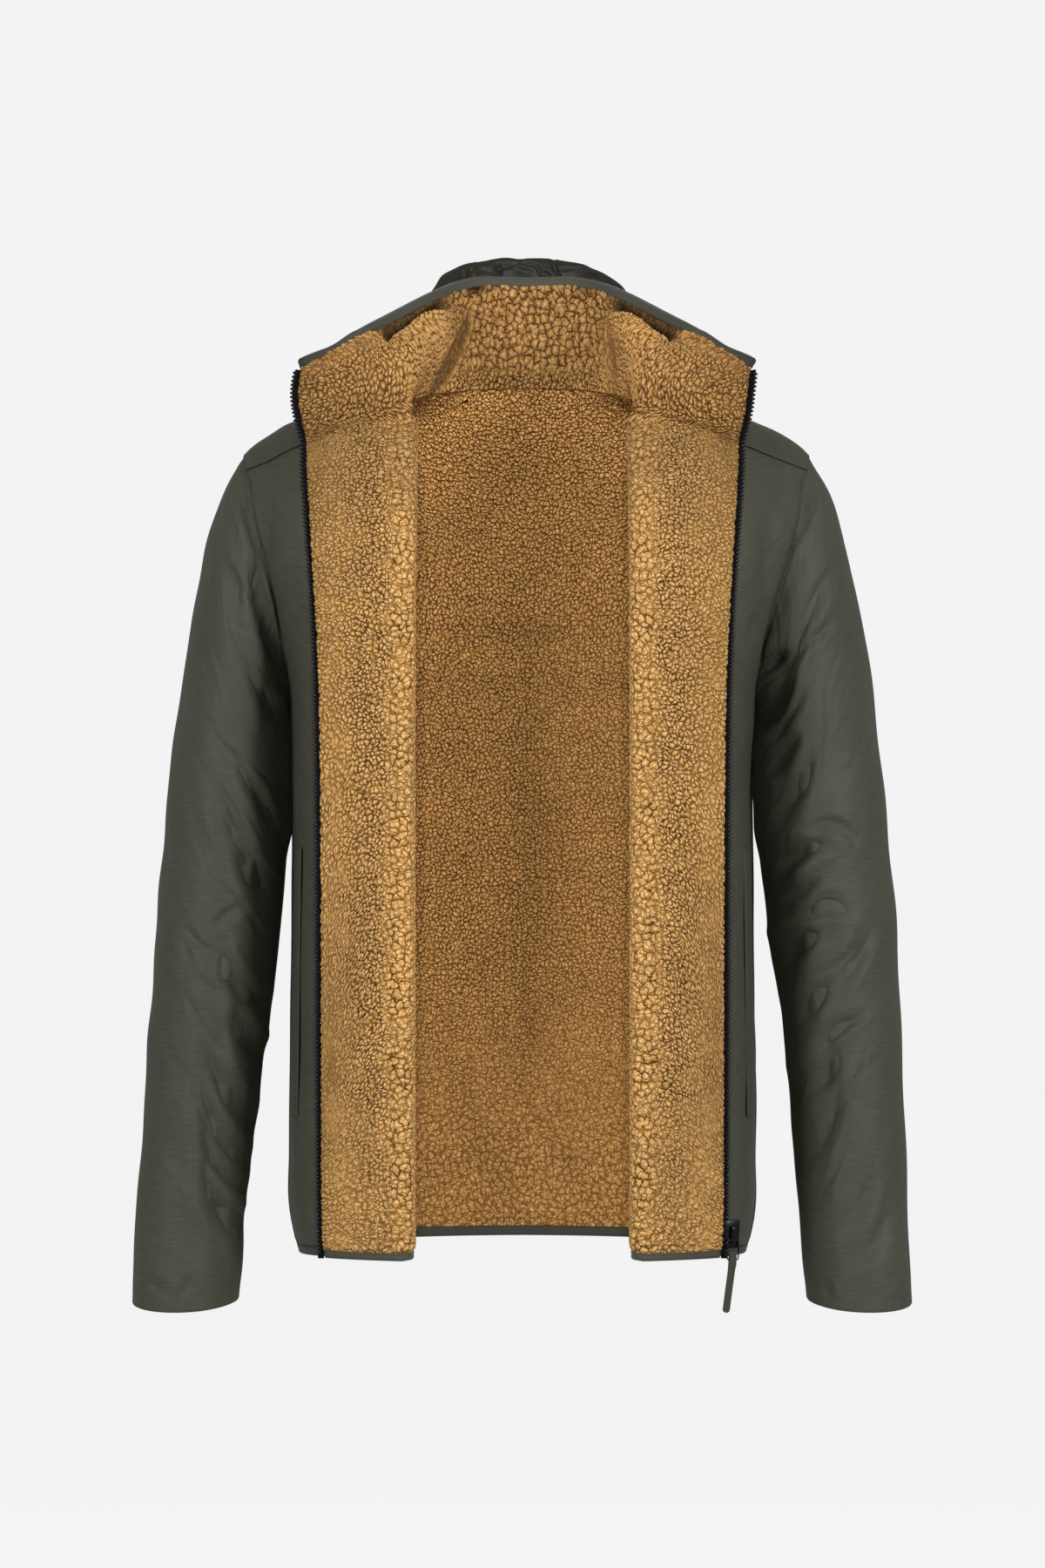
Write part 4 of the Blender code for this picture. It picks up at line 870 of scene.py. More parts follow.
def pile_depth(from_edge, relief):
    """Depth in mm of the curls' feet under the shell's face, by the distance to the nearest free edge."""
    rolled = np.sqrt(np.clip(1.0 - (1.0 - np.clip(from_edge / ROLL_OVER, 0.0, 1.0)) ** 2, 0.0, 1.0))
    return SHELL + SKIN_GAP + (PILE - relief) * rolled * PILE_STANDS


def back_rows(step):
    """Places up the back, with a row at every height where its outline turns."""
    return joined(
        evenly(lambda t: back(1.0, t), 0.0, ROW_ARMPIT, step),
        evenly(lambda t: back(1.0, t), ROW_ARMPIT, ROW_SHOULDER, step),
        evenly(lambda t: back(1.0, t), ROW_SHOULDER, 1.0, step),
    )


def both_halves(places, up, offset=None):
    """The back from one side to the other, made of a half and its mirror image, moved outwards by an offset."""
    half = back(*np.meshgrid(places, up))
    if offset:
        half = half + body_facing(half) * offset(half)[..., None]
    return np.concatenate([half, mirrored(half)[:, -2::-1]], axis=1)


def back_block(places, up):
    """The back's lining as a grid, with the values that steer its curls."""
    placed = both_halves(places, up, lambda p: -pile_depth(p[..., 2] - HEM_BACK, BACK_RELIEF))
    sunk = folded(placed, eased(110.0 - np.abs(placed[..., 0]), 0.0, 30.0), BACK_HOLLOWS)
    placed[..., 1] -= sunk
    flat = flat_places(placed, len(places) - 1)
    x, z = placed[..., 0], placed[..., 2]
    # the nap lies calmer to one side of the middle and coarser above the hem; painted shade darkens its hollows and
    # a shallow strip beside the middle
    calm = eased(x, -4.0, 30.0) * eased(z, -640.0, -500.0) * (1.0 - eased(z, -190.0, -120.0))
    coarse_curls = 1.0 - eased(z, -610.0, -400.0)
    shade = np.clip(-sunk / 2.5, -0.4, 1.0)
    dip = eased(x, -6.0, 4.0) * (1.0 - eased(x, 14.0, 62.0))
    dip = dip * eased(z, -560.0, -480.0) * (1.0 - eased(z, -190.0, -110.0))
    relief = BACK_RELIEF * MM * eased(z - HEM_BACK, 0.0, 6.0) * eased(FINE_HALF - np.abs(x), 0.0, 6.0)
    values = {
        "relief": relief * (1.0 + 0.5 * coarse_curls),
        "depth": 1.0 - 0.15 * calm,
        "opened": 0.1 + 0.6 * coarse_curls,
        "painted_shade": np.clip(0.03 + 0.2 * shade + 0.15 * dip, 0.0, 1.0),
    }
    return placed, flat, False, values


def columns_of(block, low, high):
    """Some of a block's columns as a block of their own."""
    points, flat, turned, values = block
    values = {key: np.broadcast_to(value, points.shape[:2])[:, low:high] for key, value in values.items()}
    return points[:, low:high], flat[:, low:high], turned, values


fine = back_block(back_across(FINE_FROM, 1.0, FINE_STEP), back_rows(FINE_STEP))
# the coarse grid reaches the centre as well, so that it can be mirrored there, and then only its sides are kept
side_places = back_across(0.0, FINE_FROM, COARSE_STEP)
coarse = back_block(np.append(side_places, 1.0), back_rows(COARSE_STEP))
last = len(side_places)
sides = [columns_of(coarse, 0, last), columns_of(coarse, last + 1, 2 * last + 1)]
# the lining comes over the shoulders too
shoulder_up = evenly(lambda t: shoulder(0.5, t), ROW_SHOULDER, 1.0, 2.5)
forward, up = np.meshgrid(np.linspace(0.0, 1.0, 20), shoulder_up)
over = shoulder(forward, up)
over = over - body_facing(over) * pile_depth(ROLL_OVER, BACK_RELIEF)
values = {"relief": BACK_RELIEF * MM, "depth": 0.8, "opened": 0.1, "painted_shade": 0.0}
for sign in (1.0, -1.0):
    sides.append((mirrored(over, sign), flat_places(over) * (sign, 1.0) + 0.4, sign < 0, values))
back_lining = sheet_piece("back_pile", [fine, *sides], back_pile)
raise_pile(back_lining, *BACK_CURL)
replace_solids(back_lining, "pile_lining", "back_lining")


# %% [markdown]
# A front's lining follows its shell from the side seam round the fold and out to the zip. Inside the fold the
# pile is pressed flat, and beside it the pebbles are large, because the pile is stretched over the bend.

# %% Front linings
LAPEL_FROM, LAPEL_WIDTH = 0.425, 68.0
FRONT_RELIEF = 1.5


def front_block(across, up):
    """A front's lining as a grid, with the values that steer its curls."""
    a, b = np.meshgrid(across, up)
    points = front(a, b)
    inward = square_to(points)
    from_hem = points[..., 2] - HEM_FRONT
    to_zip = (1.0 - a) * LAPEL_WIDTH / (1.0 - FOLD_TO)
    bent = 1.0 - eased(a, 0.458, 0.468)  # where the pile is pressed flat inside the fold
    relief = FRONT_RELIEF * (0.8 + 0.2 * eased(to_zip, 0.0, 18.0)) * (1.0 - 0.75 * bent)
    relief = relief * eased(from_hem, -1.0, 6.0)
    depth = pile_depth(np.minimum(from_hem, to_zip), relief)
    spill = 0.6 * (1.0 - eased(to_zip, 0.0, 9.0))
    over = unit(points[:, -1:] - points[:, -3:-2])
    placed = points + inward * depth[..., None] + over * spill[..., None]
    wave = swelling(placed, 60.0, 31, 0.9) * (a > FOLD_TO) * eased(to_zip, 0.0, 12.0)
    placed = placed + inward * wave[..., None]
    flat = flat_places(placed, min(int(np.searchsorted(across, 0.5)), len(across) - 1))
    # the pebbles are large beside the fold and above the hem and fine beside the zip; painted shade darkens them
    # towards the neck, away from the zip and above the hem
    low = (1.0 - eased(placed[..., 2], -600.0, -470.0)) * eased(to_zip, 4.0, 14.0)
    patchy = swelling(placed, 24.0, 41, 0.22)
    opened = np.maximum(0.8 - 0.8 * eased(a, 0.53, 0.62), 0.5 * low) + patchy
    painted_shade = 0.08 * eased(to_zip, 12.0, 50.0) + 0.2 * eased(b, 0.74, 0.96) + 0.08 * low
    values = {
        "relief": relief * MM * eased(a, LAPEL_FROM, LAPEL_FROM + 0.02),
        "depth": (0.5 + 0.5 * eased(to_zip, 8.0, 42.0)) * (1.0 - bent) + 0.3 * bent,
        "opened": np.clip(opened, 0.0, 1.0) * (1.0 - bent),
        "painted_shade": painted_shade * (1.0 - bent),
    }
    return placed, flat, False, values


def front_lining(name, side):
    blocks = []
    for across, step in (
        (front_across(LAPEL_FROM, 1.0, 1.15), FINE_STEP),
        (front_across(0.0, LAPEL_FROM, COARSE_STEP), COARSE_STEP),
    ):
        blocks.append(front_block(across, evenly(lambda t: front(0.8, t), 0.0, 1.0, step)))
    if side < 0:
        blocks = [(mirrored(p), flat * (-1.0, 1.0) + (0.7, 0.3), True, values) for p, flat, _, values in blocks]
    item = sheet_piece(f"{name}_pile", blocks, front_pile)
    raise_pile(item, *FRONT_CURL)
    replace_solids(item, "pile_lining", f"{name}_lining")
    return item


left_front_lining = front_lining("left_front", 1)
right_front_lining = front_lining("right_front", -1)

# %% [markdown]
# The collar's lining is not pulled tight. On each side it stands off in a ridge with a hollow behind it, below the
# bound edge, and a soft valley runs from the edge down to the neck where the collar turns from back to side.

# %% Collar lining
COLLAR_RELIEF = 1.8
# rough lengths that turn shares of the way up and round the collar into mm from its edge and from the zip
COLLAR_TALL, COLLAR_LONG = 85.0, 150.0
# valleys of the collar's lining, in the same columns as the folds
COLLAR_VALLEYS = (
    (-46, 92, -80, 10, 4, 9, 7),
    (67, 82, 80, 6, -3, 4.5, 8),
)
# painted shade at places that lie in deep shade under the edge and beside the neck: x, height, half width, half
# height, how dark
COLLAR_SHADES = (
    (-47, 103, 13, 4.5, 0.95),
    (54, 101, 13, 4.5, 0.6),
    (-116, 0, 26, 14, 0.22),
    (106, 2, 26, 16, 0.2),
)
SEAM_COLUMNS = np.linspace(0.0, 1.0, 101)

half_around = evenly(lambda t: collar(t, 0.5), 0.0, 1.0, 1.15)
around = np.concatenate([-half_around[:0:-1], half_around])
collar_up = evenly(lambda t: collar(np.full_like(t, 0.3), t), 0.0, 1.0, 1.0)
# its first two rows lie under the neck seam, on top of the pieces below, so no gap opens there
a, b = np.meshgrid(around, np.insert(collar_up, 0, (-0.04, -0.02)))
b = np.where(b < 0, b * (1.0 - 0.9 * eased(np.abs(a), 0.28, 0.36)), b)
points = collar(a, b)
toward_neck = -collar_out(a, b)
# at the neck seam the pile stands as it does on the pieces below, so that it doesn't part there
spans = (NECK_SHOULDER, NECK_FOLD, NECK_LAPEL, 1.0)
seam_across = np.interp(np.abs(around), spans, (0.0, FOLD_FROM, FOLD_TO, 1.0))
seam_front = square_to(front(*np.meshgrid(SEAM_COLUMNS, np.array([0.99, 1.0]))))[-1]
below = np.stack([np.interp(seam_across, SEAM_COLUMNS, seam_front[:, k]) for k in range(3)], axis=1)
below = np.where(np.abs(around)[:, None] < NECK_SHOULDER, -body_facing(neck(np.abs(around))), below)
below[:, 0] *= np.where(around < 0, -1.0, 1.0)
from_seam = eased(b, 0.0, 0.16)[..., None]
toward_neck = unit(unit(below) * (1.0 - from_seam) + toward_neck * from_seam)
to_edge = (1.0 - b) * COLLAR_TALL
to_zip = (1.0 - np.abs(a)) * COLLAR_LONG
# the parts of its form: a ridge at each side, the hollow above it, and the valleys
side_part = eased(np.abs(a), 0.13, 0.2) * (1.0 - eased(np.abs(a), 0.35, 0.41))
hollow = side_part * eased(b, 0.52, 0.66)
ridge = side_part * np.exp(-(((b - 0.44) / 0.12) ** 2))
valley = -folded(points, 1.0, COLLAR_VALLEYS)
relief = COLLAR_RELIEF * (0.5 + 0.5 * eased(to_edge, 0.0, 5.0)) * (0.5 + 0.5 * eased(to_zip, 0.0, 18.0))
relief = relief * (1.0 - 0.85 * eased(valley, 1.5, 4.0))
relief = FRONT_RELIEF + (relief - FRONT_RELIEF) * from_seam[..., 0]
depth = pile_depth(np.minimum(to_edge, to_zip), relief) * (1.0 - 0.6 * hollow) + 5.0 * ridge - valley
placed = points + toward_neck * np.maximum(depth, SHELL + SKIN_GAP)[..., None]
flat = flat_places(placed, len(half_around) - 1) + (0.31, 0.9)
behind = 1.0 - eased(np.abs(a), 0.12, 0.22)
# painted shade: dark spots under the edge and beside the neck, a little behind the neck, in the hollow above each
# ridge and along the valleys
painted_shade_spots = sum(
    dark * np.exp(-(((points[..., 0] - x) / wide) ** 2) - ((points[..., 2] - z) / tall) ** 2)
    for x, z, wide, tall, dark in COLLAR_SHADES
)
hollow_shade = 0.2 * behind + hollow * (1.0 - 0.3 * eased(b, 0.86, 0.99))
popcorn = eased(b, 0.5, 0.9) * (1.0 - behind)
values = {
    "relief": relief * MM,
    "depth": (0.85 + 0.15 * behind + 0.1 * popcorn) * (1.0 - 0.75 * eased(valley, 1.0, 3.5)),
    "opened": np.maximum(0.95 * behind * eased(b, 0.02, 0.1), 0.7 * popcorn),
    "painted_shade": painted_shade_spots + np.maximum(hollow_shade, 0.72 * eased(valley, 1.0, 6.0)),
}
collar_lining = sheet_piece("collar_pile", [(placed, flat, False, values)], collar_pile)
raise_pile(collar_lining, *COLLAR_CURL)
replace_solids(collar_lining, "pile_lining", "collar_lining")

# %% [markdown]
# ## Nylon shell
#
# The outside is a plain-woven nylon with a very fine rib across it, lightly padded, so it falls in broad soft
# folds and has a dull sheen.

# %% The nylon
RIB = 1.3  # real ribs are about 0.6 mm apart, too fine to show, so they are drawn twice as coarse


def nylon_material(name, code):
    """Woven nylon: a dull olive with a soft sheen, fine ribs across it and faint slubs."""
    material, tree, shader = new_material(name, code, 0.55, Sheen_Weight=0.03, Sheen_Roughness=0.5)
    shader.inputs["Specular IOR Level"].default_value = 0.2
    flat = add(tree, "ShaderNodeUVMap", {"uv_map": "cut"})
    drawn = add(tree, VECTORS, TIMES, {0: flat, 1: (60.0, 1000.0 / RIB, 1.0)})
    ribs = add(tree, NOISE, FLAT, {"Vector": drawn, "Scale": 1.0, "Detail": 2.0, "Roughness": 0.6})
    cloud = add(tree, NOISE, FLAT, {"Vector": flat, "Scale": 9.0, "Detail": 3.0})
    stripes, patches = (ribs, 0.25, 0.75, 0.86, 1.14), (cloud, 0.3, 0.7, 0.95, 1.05)
    tree.links.new(shaded(tree, linear(code)[:3], stripes, patches), shader.inputs["Base Color"])
    # faint crinkles that run slanting over the cloth
    inputs = {"Vector": flat, "Rotation": (0.0, 0.0, 0.5)}
    turned = add(tree, "ShaderNodeMapping", {"vector_type": "TEXTURE"}, inputs)
    drawn = add(tree, VECTORS, TIMES, {0: turned, 1: (55.0, 22.0, 1.0)})
    waves = add(tree, NOISE, FLAT, {"Vector": drawn, "Scale": 1.0, "Detail": 1.5, "Distortion": 0.4})
    crinkled = add(tree, BUMP, {}, {"Strength": 0.5, "Distance": 0.003, "Height": waves})
    settings = {"Strength": 0.35, "Distance": 0.00025, "Height": ribs, "Normal": crinkled}
    tree.links.new(add(tree, BUMP, {}, settings).outputs[0], shader.inputs["Normal"])
    return material


nylon = nylon_material("ribbed_olive_nylon", "525246")


# %% Fronts and back
FRONT_FOLDS = {
    1: (
        (188, -67, 201, -134, -4, 1.8, 6),
        (181, -94, 186, -147, 4, 2.4, 4.5),
        (192, -52, 204, -98, 0, 1.4, 6),
        (174, -181, 181, -160, 0, 1.6, 5),
    ),
    -1: (
        (-191, -50, -199, -117, -3, 3, 7),
        (-160, -152, -182, -198, 2, 3, 8),
        (-174, -128, -190, -172, 3, 1.6, 7),
        (-182, -112, -186, -146, 0, -1.2, 5),
    ),
}
CLOTH_WALL, SHELL_WELD = 1.2, 0.00005  # mm of thickness, and metres within which the edges of pieces join
shell_across = joined(front_across(0.0, FOLD_FROM, 4.5), front_across(FOLD_FROM, 1.0, 6.0))
shell_up = evenly(lambda t: front(0.2, t), 0.0, 1.0, 5.0)
# the groove of the armhole's seam: depth and width in mm, on a front of about this many mm across
GROOVE, GROOVE_WIDTH, FRONT_WIDE = 1.2, 3.0, 400.0


def front_shell(name, side):
    a, b = np.meshgrid(shell_across, shell_up)
    points = front(a, b)
    outward = -square_to(points)
    flat = flat_places(points)
    if side < 0:
        points, outward = mirrored(points), mirrored(outward)
    seen = eased(a, 0.0, 0.03) * eased(FOLD_FROM - a, 0.0, 0.03)
    height = 1.6 * folded(points, seen, FRONT_FOLDS[side]) + swelling(points, 90.0, 11 + side, 0.8) * seen
    by_seam = 1.0 - 0.7 * eased(b, ROW_SHOULDER - 0.06, ROW_SHOULDER + 0.01)
    by_seam = by_seam * eased(b, ROW_ARMPIT - 0.02, ROW_ARMPIT)
    height -= GROOVE * np.exp(-a * FRONT_WIDE / GROOVE_WIDTH) * by_seam
    block = (points + outward * height[..., None], flat, side > 0, {})
    item = sheet_piece(f"{name}_nylon", [block], nylon, thickness=CLOTH_WALL)
    replace_solids(item, "shell_nylon", f"{name}_shell")
    return item


left_front_shell = front_shell("left_front", 1)
right_front_shell = front_shell("right_front", -1)

shell_back_up = joined(
    evenly(lambda t: back(0.0, t), 0.0, ROW_ARMPIT, 7.0),
    evenly(lambda t: back(0.5, t), ROW_ARMPIT, ROW_SHOULDER, 6.0),
    evenly(lambda t: back(0.5, t), ROW_SHOULDER, 1.0, 4.0),
)
BACK_FOLDS = (
    (-196, -70, -150, -150, 6, 3, 14),
    (198, -84, 160, -176, -6, 3.2, 12),
    (-120, -196, 30, -238, 8, 2.4, 18),
    (150, -300, 20, -352, -8, 2.2, 20),
    (-158, -380, -40, -440, 6, 2.6, 17),
    (120, -480, 60, -600, 6, 2.8, 16),
    (-90, -520, -112, -628, -4, 2.2, 13),
)
points = both_halves(back_across(0.0, 1.0, 6.0), shell_back_up)
side = np.where(points[..., :1] < 0, (-1.0, 1.0, 1.0), 1.0)
outward = body_facing(points * side) * side
flat = flat_places(points, points.shape[1] // 2)
still = eased(flat[..., 1], 0.0, 0.03) * eased(205.0 - np.abs(points[..., 0]), 0.0, 20.0)
height = (0.8 * folded(points, 1.0, BACK_FOLDS) + swelling(points, 120.0, 5, 0.6)) * still
a, b = np.meshgrid(np.linspace(0.0, 1.03, 14), shell_back_up[shell_back_up >= ROW_SHOULDER - 1e-6])
over = shoulder(a, b)
over = over + body_facing(over) * 0.35 * eased(a, 0.9, 1.0)[..., None]
over_flat = flat_places(over)
blocks = [
    (points + outward * height[..., None], flat, True, {}),
    (over, over_flat, False, {}),
    (mirrored(over), over_flat, True, {}),
]
back_shell = sheet_piece("back_nylon", blocks, nylon, SHELL_WELD, CLOTH_WALL)
replace_solids(back_shell, "shell_nylon", "back_shell")

# %% Collar shell
a, b = np.meshgrid(around[::3], collar_up[::3])
points = collar(a, b)
flat = flat_places(points, len(around[::3]) // 2)
collar_shell = sheet_piece("collar_nylon", [(points, flat, True, {})], nylon, thickness=CLOTH_WALL)
replace_solids(collar_shell, "shell_nylon", "collar_shell")


# %% [markdown]
# The sleeves carry most of the creases. Where the arm hangs down the cloth is too long on the inner side, so it
# buckles into slanting folds that run from the outer edge down to the body, deep near the armhole and at the
# elbow and shallow near the cuff. Both sleeves have their own, because no two sleeves crumple alike.

# %% Sleeves
SLEEVE_FOLDS = {
    1: (
        (214, -54, 209, -84, 1, 4, 3),
        (220, -66, 202, -110, 2, 4.5, 3.5),
        (224, -64, 215, -100, 0, 1.8, 4),
        (238, -126, 188, -242, -5, 2.6, 5.5),
        (238, -168, 200, -208, -3, 1.5, 4),
        (198, -192, 182, -210, 0, 4, 5),
        (206, -206, 186, -244, 2, 4.5, 5),
        (214, -216, 194, -250, 2, 2.2, 5),
        (208, -256, 192, -284, 0, 3, 6),
        (220, -268, 200, -312, 2, 3.2, 7),
        (217, -326, 253, -334, 8, 1.6, 4),
        (226, -338, 198, -362, -3, 3.8, 6),
        (226, -366, 200, -382, 0, 3.2, 6),
        (248, -390, 206, -396, -5, 2.8, 6),
        (222, -408, 204, -428, -2, 4.2, 6),
        (268, -404, 238, -448, 3, 1.8, 6),
        (232, -446, 214, -472, 0, 3, 6),
        (260, -470, 226, -498, -3, 2.2, 4),
        (240, -498, 222, -530, 2, 3.8, 7),
        (242, -520, 220, -584, 4, 2.6, 8),
        (270, -588, 248, -640, 3, 1.6, 7),
        (284, -620, 256, -664, 3, 1.4, 7),
        (232, -676, 238, -690, 0, 1.2, 4),
        (230, -172, 184, -222, -2, 0.8, 1.8),
        (227, -214, 224, -292, 2, 0.5, 2),
        (246, -110, 214, -170, -3, 0.6, 2),
        (208, -232, 190, -262, 1, 0.9, 2),
        (244, -350, 214, -372, -2, 0.7, 1.8),
        (252, -420, 222, -440, 2, 0.7, 2),
        (262, -500, 240, -546, 3, 0.6, 2),
        (250, -560, 232, -606, 2, 0.7, 2),
    ),
    -1: (
        (-220, -70, -201, -118, 2, 4.5, 3.5),
        (-206, -128, -187, -188, -5, 6, 4.5),
        (-202, -172, -185, -202, -2, 4, 4),
        (-234, -116, -218, -152, 0, 1.1, 4),
        (-227, -126, -212, -168, -2, 1.1, 5),
        (-220, -192, -203, -226, 0, 1.4, 3.2),
        (-202, -218, -190, -244, 0, 2.4, 5),
        (-235, -260, -188, -334, 3, 2, 4),
        (-236, -300, -205, -362, -2, 3, 5.5),
        (-222, -348, -198, -376, 0, 3.2, 6),
        (-240, -402, -220, -386, 2, 1.2, 3.2),
        (-264, -403, -243, -422, -1, 1, 4),
        (-266, -411, -256, -433, 0, 0.9, 4),
        (-235, -422, -206, -464, -3, 3.6, 6.5),
        (-252, -440, -232, -456, -1, 1.1, 4),
        (-222, -466, -206, -504, -3, 3.8, 6.5),
        (-238, -478, -232, -506, 0, 2, 6),
        (-243, -496, -214, -556, -2, 3.4, 7),
        (-248, -526, -217, -588, -3, 4.2, 6.5),
        (-246, -560, -216, -608, -4, 3.6, 6),
        (-245, -586, -214, -634, -6, 4, 6.5),
        (-288, -680, -276, -676, 0, 1, 4),
        (-262, -688, -256, -672, 0, 1, 3.5),
        (-238, -120, -189, -182, 3, 0.8, 1.8),
        (-230, -168, -179, -192, 2, 0.7, 1.6),
        (-233, -263, -194, -294, 2, 0.8, 2),
        (-235, -294, -210, -344, 2, 0.9, 1.8),
        (-224, -333, -189, -369, -2, 0.9, 1.8),
        (-240, -366, -204, -408, 3, 0.7, 2),
        (-262, -452, -230, -500, -3, 0.6, 2),
        (-258, -520, -232, -572, -2, 0.7, 2),
        (-232, -606, -220, -652, 0, 0.9, 2.5),
    ),
}
# the same sleeves from behind, where the elbow's cloth is pulled smoother
SLEEVE_BACK_FOLDS = {
    1: (
        (226, -70, 204, -150, 4, 3, 8),
        (216, -196, 192, -232, 0, 3.4, 7),
        (244, -280, 200, -318, -4, 2.4, 9),
        (262, -372, 206, -392, 5, 2.8, 9),
        (270, -446, 216, -482, 4, 2.4, 10),
        (252, -540, 222, -592, -3, 2.2, 9),
        (276, -600, 248, -654, 3, 1.6, 9),
    ),
    -1: (
        (-224, -66, -206, -142, -4, 3, 8),
        (-218, -180, -190, -226, 2, 3.2, 7),
        (-250, -262, -196, -306, 4, 2.6, 9),
        (-256, -350, -204, -386, -4, 2.8, 8),
        (-272, -428, -212, -462, -5, 2.2, 10),
        (-250, -516, -218, -574, 3, 2.4, 9),
    ),
}
# how much the tables' folds are deepened, in front and behind
FRONT_GAIN, BACK_GAIN = 2.4, 1.2
# the sleeve's length in mm, and over how many of them the puffed head and the groove beside its seam fade out
SLEEVE_LONG, HEAD_FADE, SEAM_FADE = 650.0, 12.0, 2.5
TUCKED_IN, TUCKED_UNDER = 2.9, 3.5  # mm into the armhole, and out under the body's cloth
CUFF_RIM = ((0.4, 0.9), (1.1, 1.2), (1.8, 0.9))  # the rounded edge: mm into the wall, mm below it
LINING_ROWS = 24  # coarse rows for the inside, which hardly shows
turns = np.linspace(-180.0, 180.0, 181)
downs = evenly(lambda t: sleeve(np.full_like(t, 90.0), t), 0.0, 1.0, 2.4)


def sleeve_piece(name, side):
    a, b = np.meshgrid(turns, downs)
    points = sleeve(a, b)
    outward = square_to(points)
    outward[:, 0] = outward[:, -1] = unit(outward[:, 0] + outward[:, -1])
    middle = points.mean(axis=1, keepdims=True)
    outward = outward * np.sign(np.sum(outward * (points - middle), axis=-1).mean())
    flat = flat_places(points[::-1], len(turns) // 2)[::-1]
    # at the armhole the sleeve's edge goes in under the body's cloth before it turns back, so no gap shows there
    ring = points[:1]
    under = unit(np.cross(body_facing(ring), np.gradient(ring, axis=1)))
    under = under * np.sign(np.sum(under * (ring - ring.mean(axis=1, keepdims=True)), axis=-1, keepdims=True))
    tucked = ring - body_facing(ring) * TUCKED_IN + under * TUCKED_UNDER
    if side < 0:
        points, outward, tucked = mirrored(points), mirrored(outward), mirrored(tucked)
    height = FRONT_GAIN * folded(points, eased(-outward[..., 1], -0.2, 0.3), SLEEVE_FOLDS[side])
    height += BACK_GAIN * folded(points, eased(outward[..., 1], -0.2, 0.3), SLEEVE_BACK_FOLDS[side])
    height += swelling(points, 70.0, 21 + side, 0.8)
    from_top = b * SLEEVE_LONG
    height += 1.6 * (1.0 - eased(np.abs(a), 12.0, 50.0)) * np.exp(-from_top / HEAD_FADE)
    # near the armhole a fold stays shallower than the edge of the body's pile, which lies just inside it
    height = np.maximum(height, -1.5 - 60.0 * b)
    groove = (0.2 + GROOVE * eased(np.abs(a), 15.0, 60.0)) * np.exp(-from_top / SEAM_FADE)
    height = height * eased(b, 0.0, 0.03) * (1.0 - 0.6 * eased(b, 0.97, 1.0)) - groove
    outside = points + outward * height[..., None]
    rim = [outside[-1:] - outward[-1:] * depth - (0.0, 0.0, below) for depth, below in CUFF_RIM]
    rows = np.linspace(len(downs) - 1, 0, LINING_ROWS).astype(int)
    inside = points[rows] + outward[rows] * (np.minimum(height[rows], 0.0) - SLEEVE_WALL)[..., None]
    placed = np.concatenate([outside, *rim, inside, tucked, outside[:1]])
    ends = np.repeat(flat[-1:], len(CUFF_RIM), axis=0) - (0.0, 0.002)
    whole = np.concatenate([flat, ends, flat[rows] * (1.0, -1.0), flat[:1], flat[:1]])
    item = sheet_piece(name, [(placed, whole, side > 0, {})], nylon, SHELL_WELD)
    replace_solids(item, "shell_nylon", *(name.replace("sleeve", half) for half in ("top_sleeve", "under_sleeve")))
    return item


left_sleeve = sleeve_piece("left_sleeve", 1)
right_sleeve = sleeve_piece("right_sleeve", -1)

# %% [markdown]
# The roll behind the collar is a padded tube in shade, and its nylon is painted much darker, as painted shade.
# Short creases run down to its binding and longer ones lie along its back.

# %% Roll behind the collar
# creases of the roll above its binding, in the same columns as the folds
ROLL_FOLDS = (
    (0, 128, -22, 121, 1.5, 3.6, 2.2),
    (-19, 125, -22, 113, 1, 4, 2.2),
    (-4, 125, 13, 121, 1, 3, 1.3),
    (12, 123, 13, 114, 0, 2.6, 1.3),
    (13, 118, 21, 113, 0, 3, 1.8),
    (25, 127, 27, 112, 0, 3.6, 1.7),
    (28, 118.5, 53, 119, 1.5, 2.8, 1.2),
    (41, 115.5, 58, 113, 1, 2.4, 1.1),
    (30, 125, 56, 117.5, 1, 1.6, 1.8),
    (-35, 125, -36, 113, 0, 2.2, 1.1),
    (-41, 120, -46, 110, 0, 2.6, 1.2),
    (-48, 118, -53, 108, 0, 2.2, 1.2),
    (-9, 121, 8, 117, -1, 1.8, 2.2),
    (-34, 119, -24, 117, 0, 1.4, 1.5),
)
# its long creases at the back: from and to as (place round, place along its section), depth, half width
ROLL_CREASES = (
    (-0.14, 0.55, -0.03, 0.62, 2.6, 0.030),
    (-0.05, 0.66, 0.06, 0.56, 2.4, 0.026),
    (0.02, 0.70, 0.14, 0.64, 2.2, 0.028),
    (-0.12, 0.78, 0.00, 0.74, 1.8, 0.03),
)
ROLL_COLUMNS, ROLL_ROWS = 170, 60
a, b = np.meshgrid(np.linspace(-ROLL_TO, ROLL_TO, ROLL_COLUMNS), np.linspace(0.0, 1.0, ROLL_ROWS))
points = roll(a, b)
outward = square_to(points)
top = ROLL_ROWS // 2
outward = outward * np.sign(np.sum(outward[top] * (points[top] - points.mean(axis=0)), axis=-1).mean())
height = swelling(points, 26.0, 8, 0.5) + folded(points, 1.0 - eased(b, 0.42, 0.5), ROLL_FOLDS)
for a0, b0, a1, b1, deep, half_width in ROLL_CREASES:
    t = np.clip((a - a0) / (a1 - a0), 0.0, 1.0)
    q = (b - b0 - (b1 - b0) * t) / half_width
    height -= deep * 4.0 * t * (1.0 - t) * creased(q)
flat = flat_places(points, ROLL_COLUMNS // 2)
# painted shade: the roll's nylon is the same cloth as the shell, in a much darker tone
nylon_painted_darker = nylon_material("ribbed_olive_nylon_roll_painted_shade", "201F19")
block = (points + outward * height[..., None], flat, False, {})
roll_shape = sheet_piece("collar_roll_nylon", [block], nylon_painted_darker, thickness=1.0)
replace_solids(roll_shape, "shell_nylon", "collar_roll")

# %% [markdown]
# ## What is sewn to the cloth
#
# Bindings are tapes folded round an edge and stitched through. Each is swept along its edge as a closed bar with
# a softly rounded section that dips where the stitches pull it in.

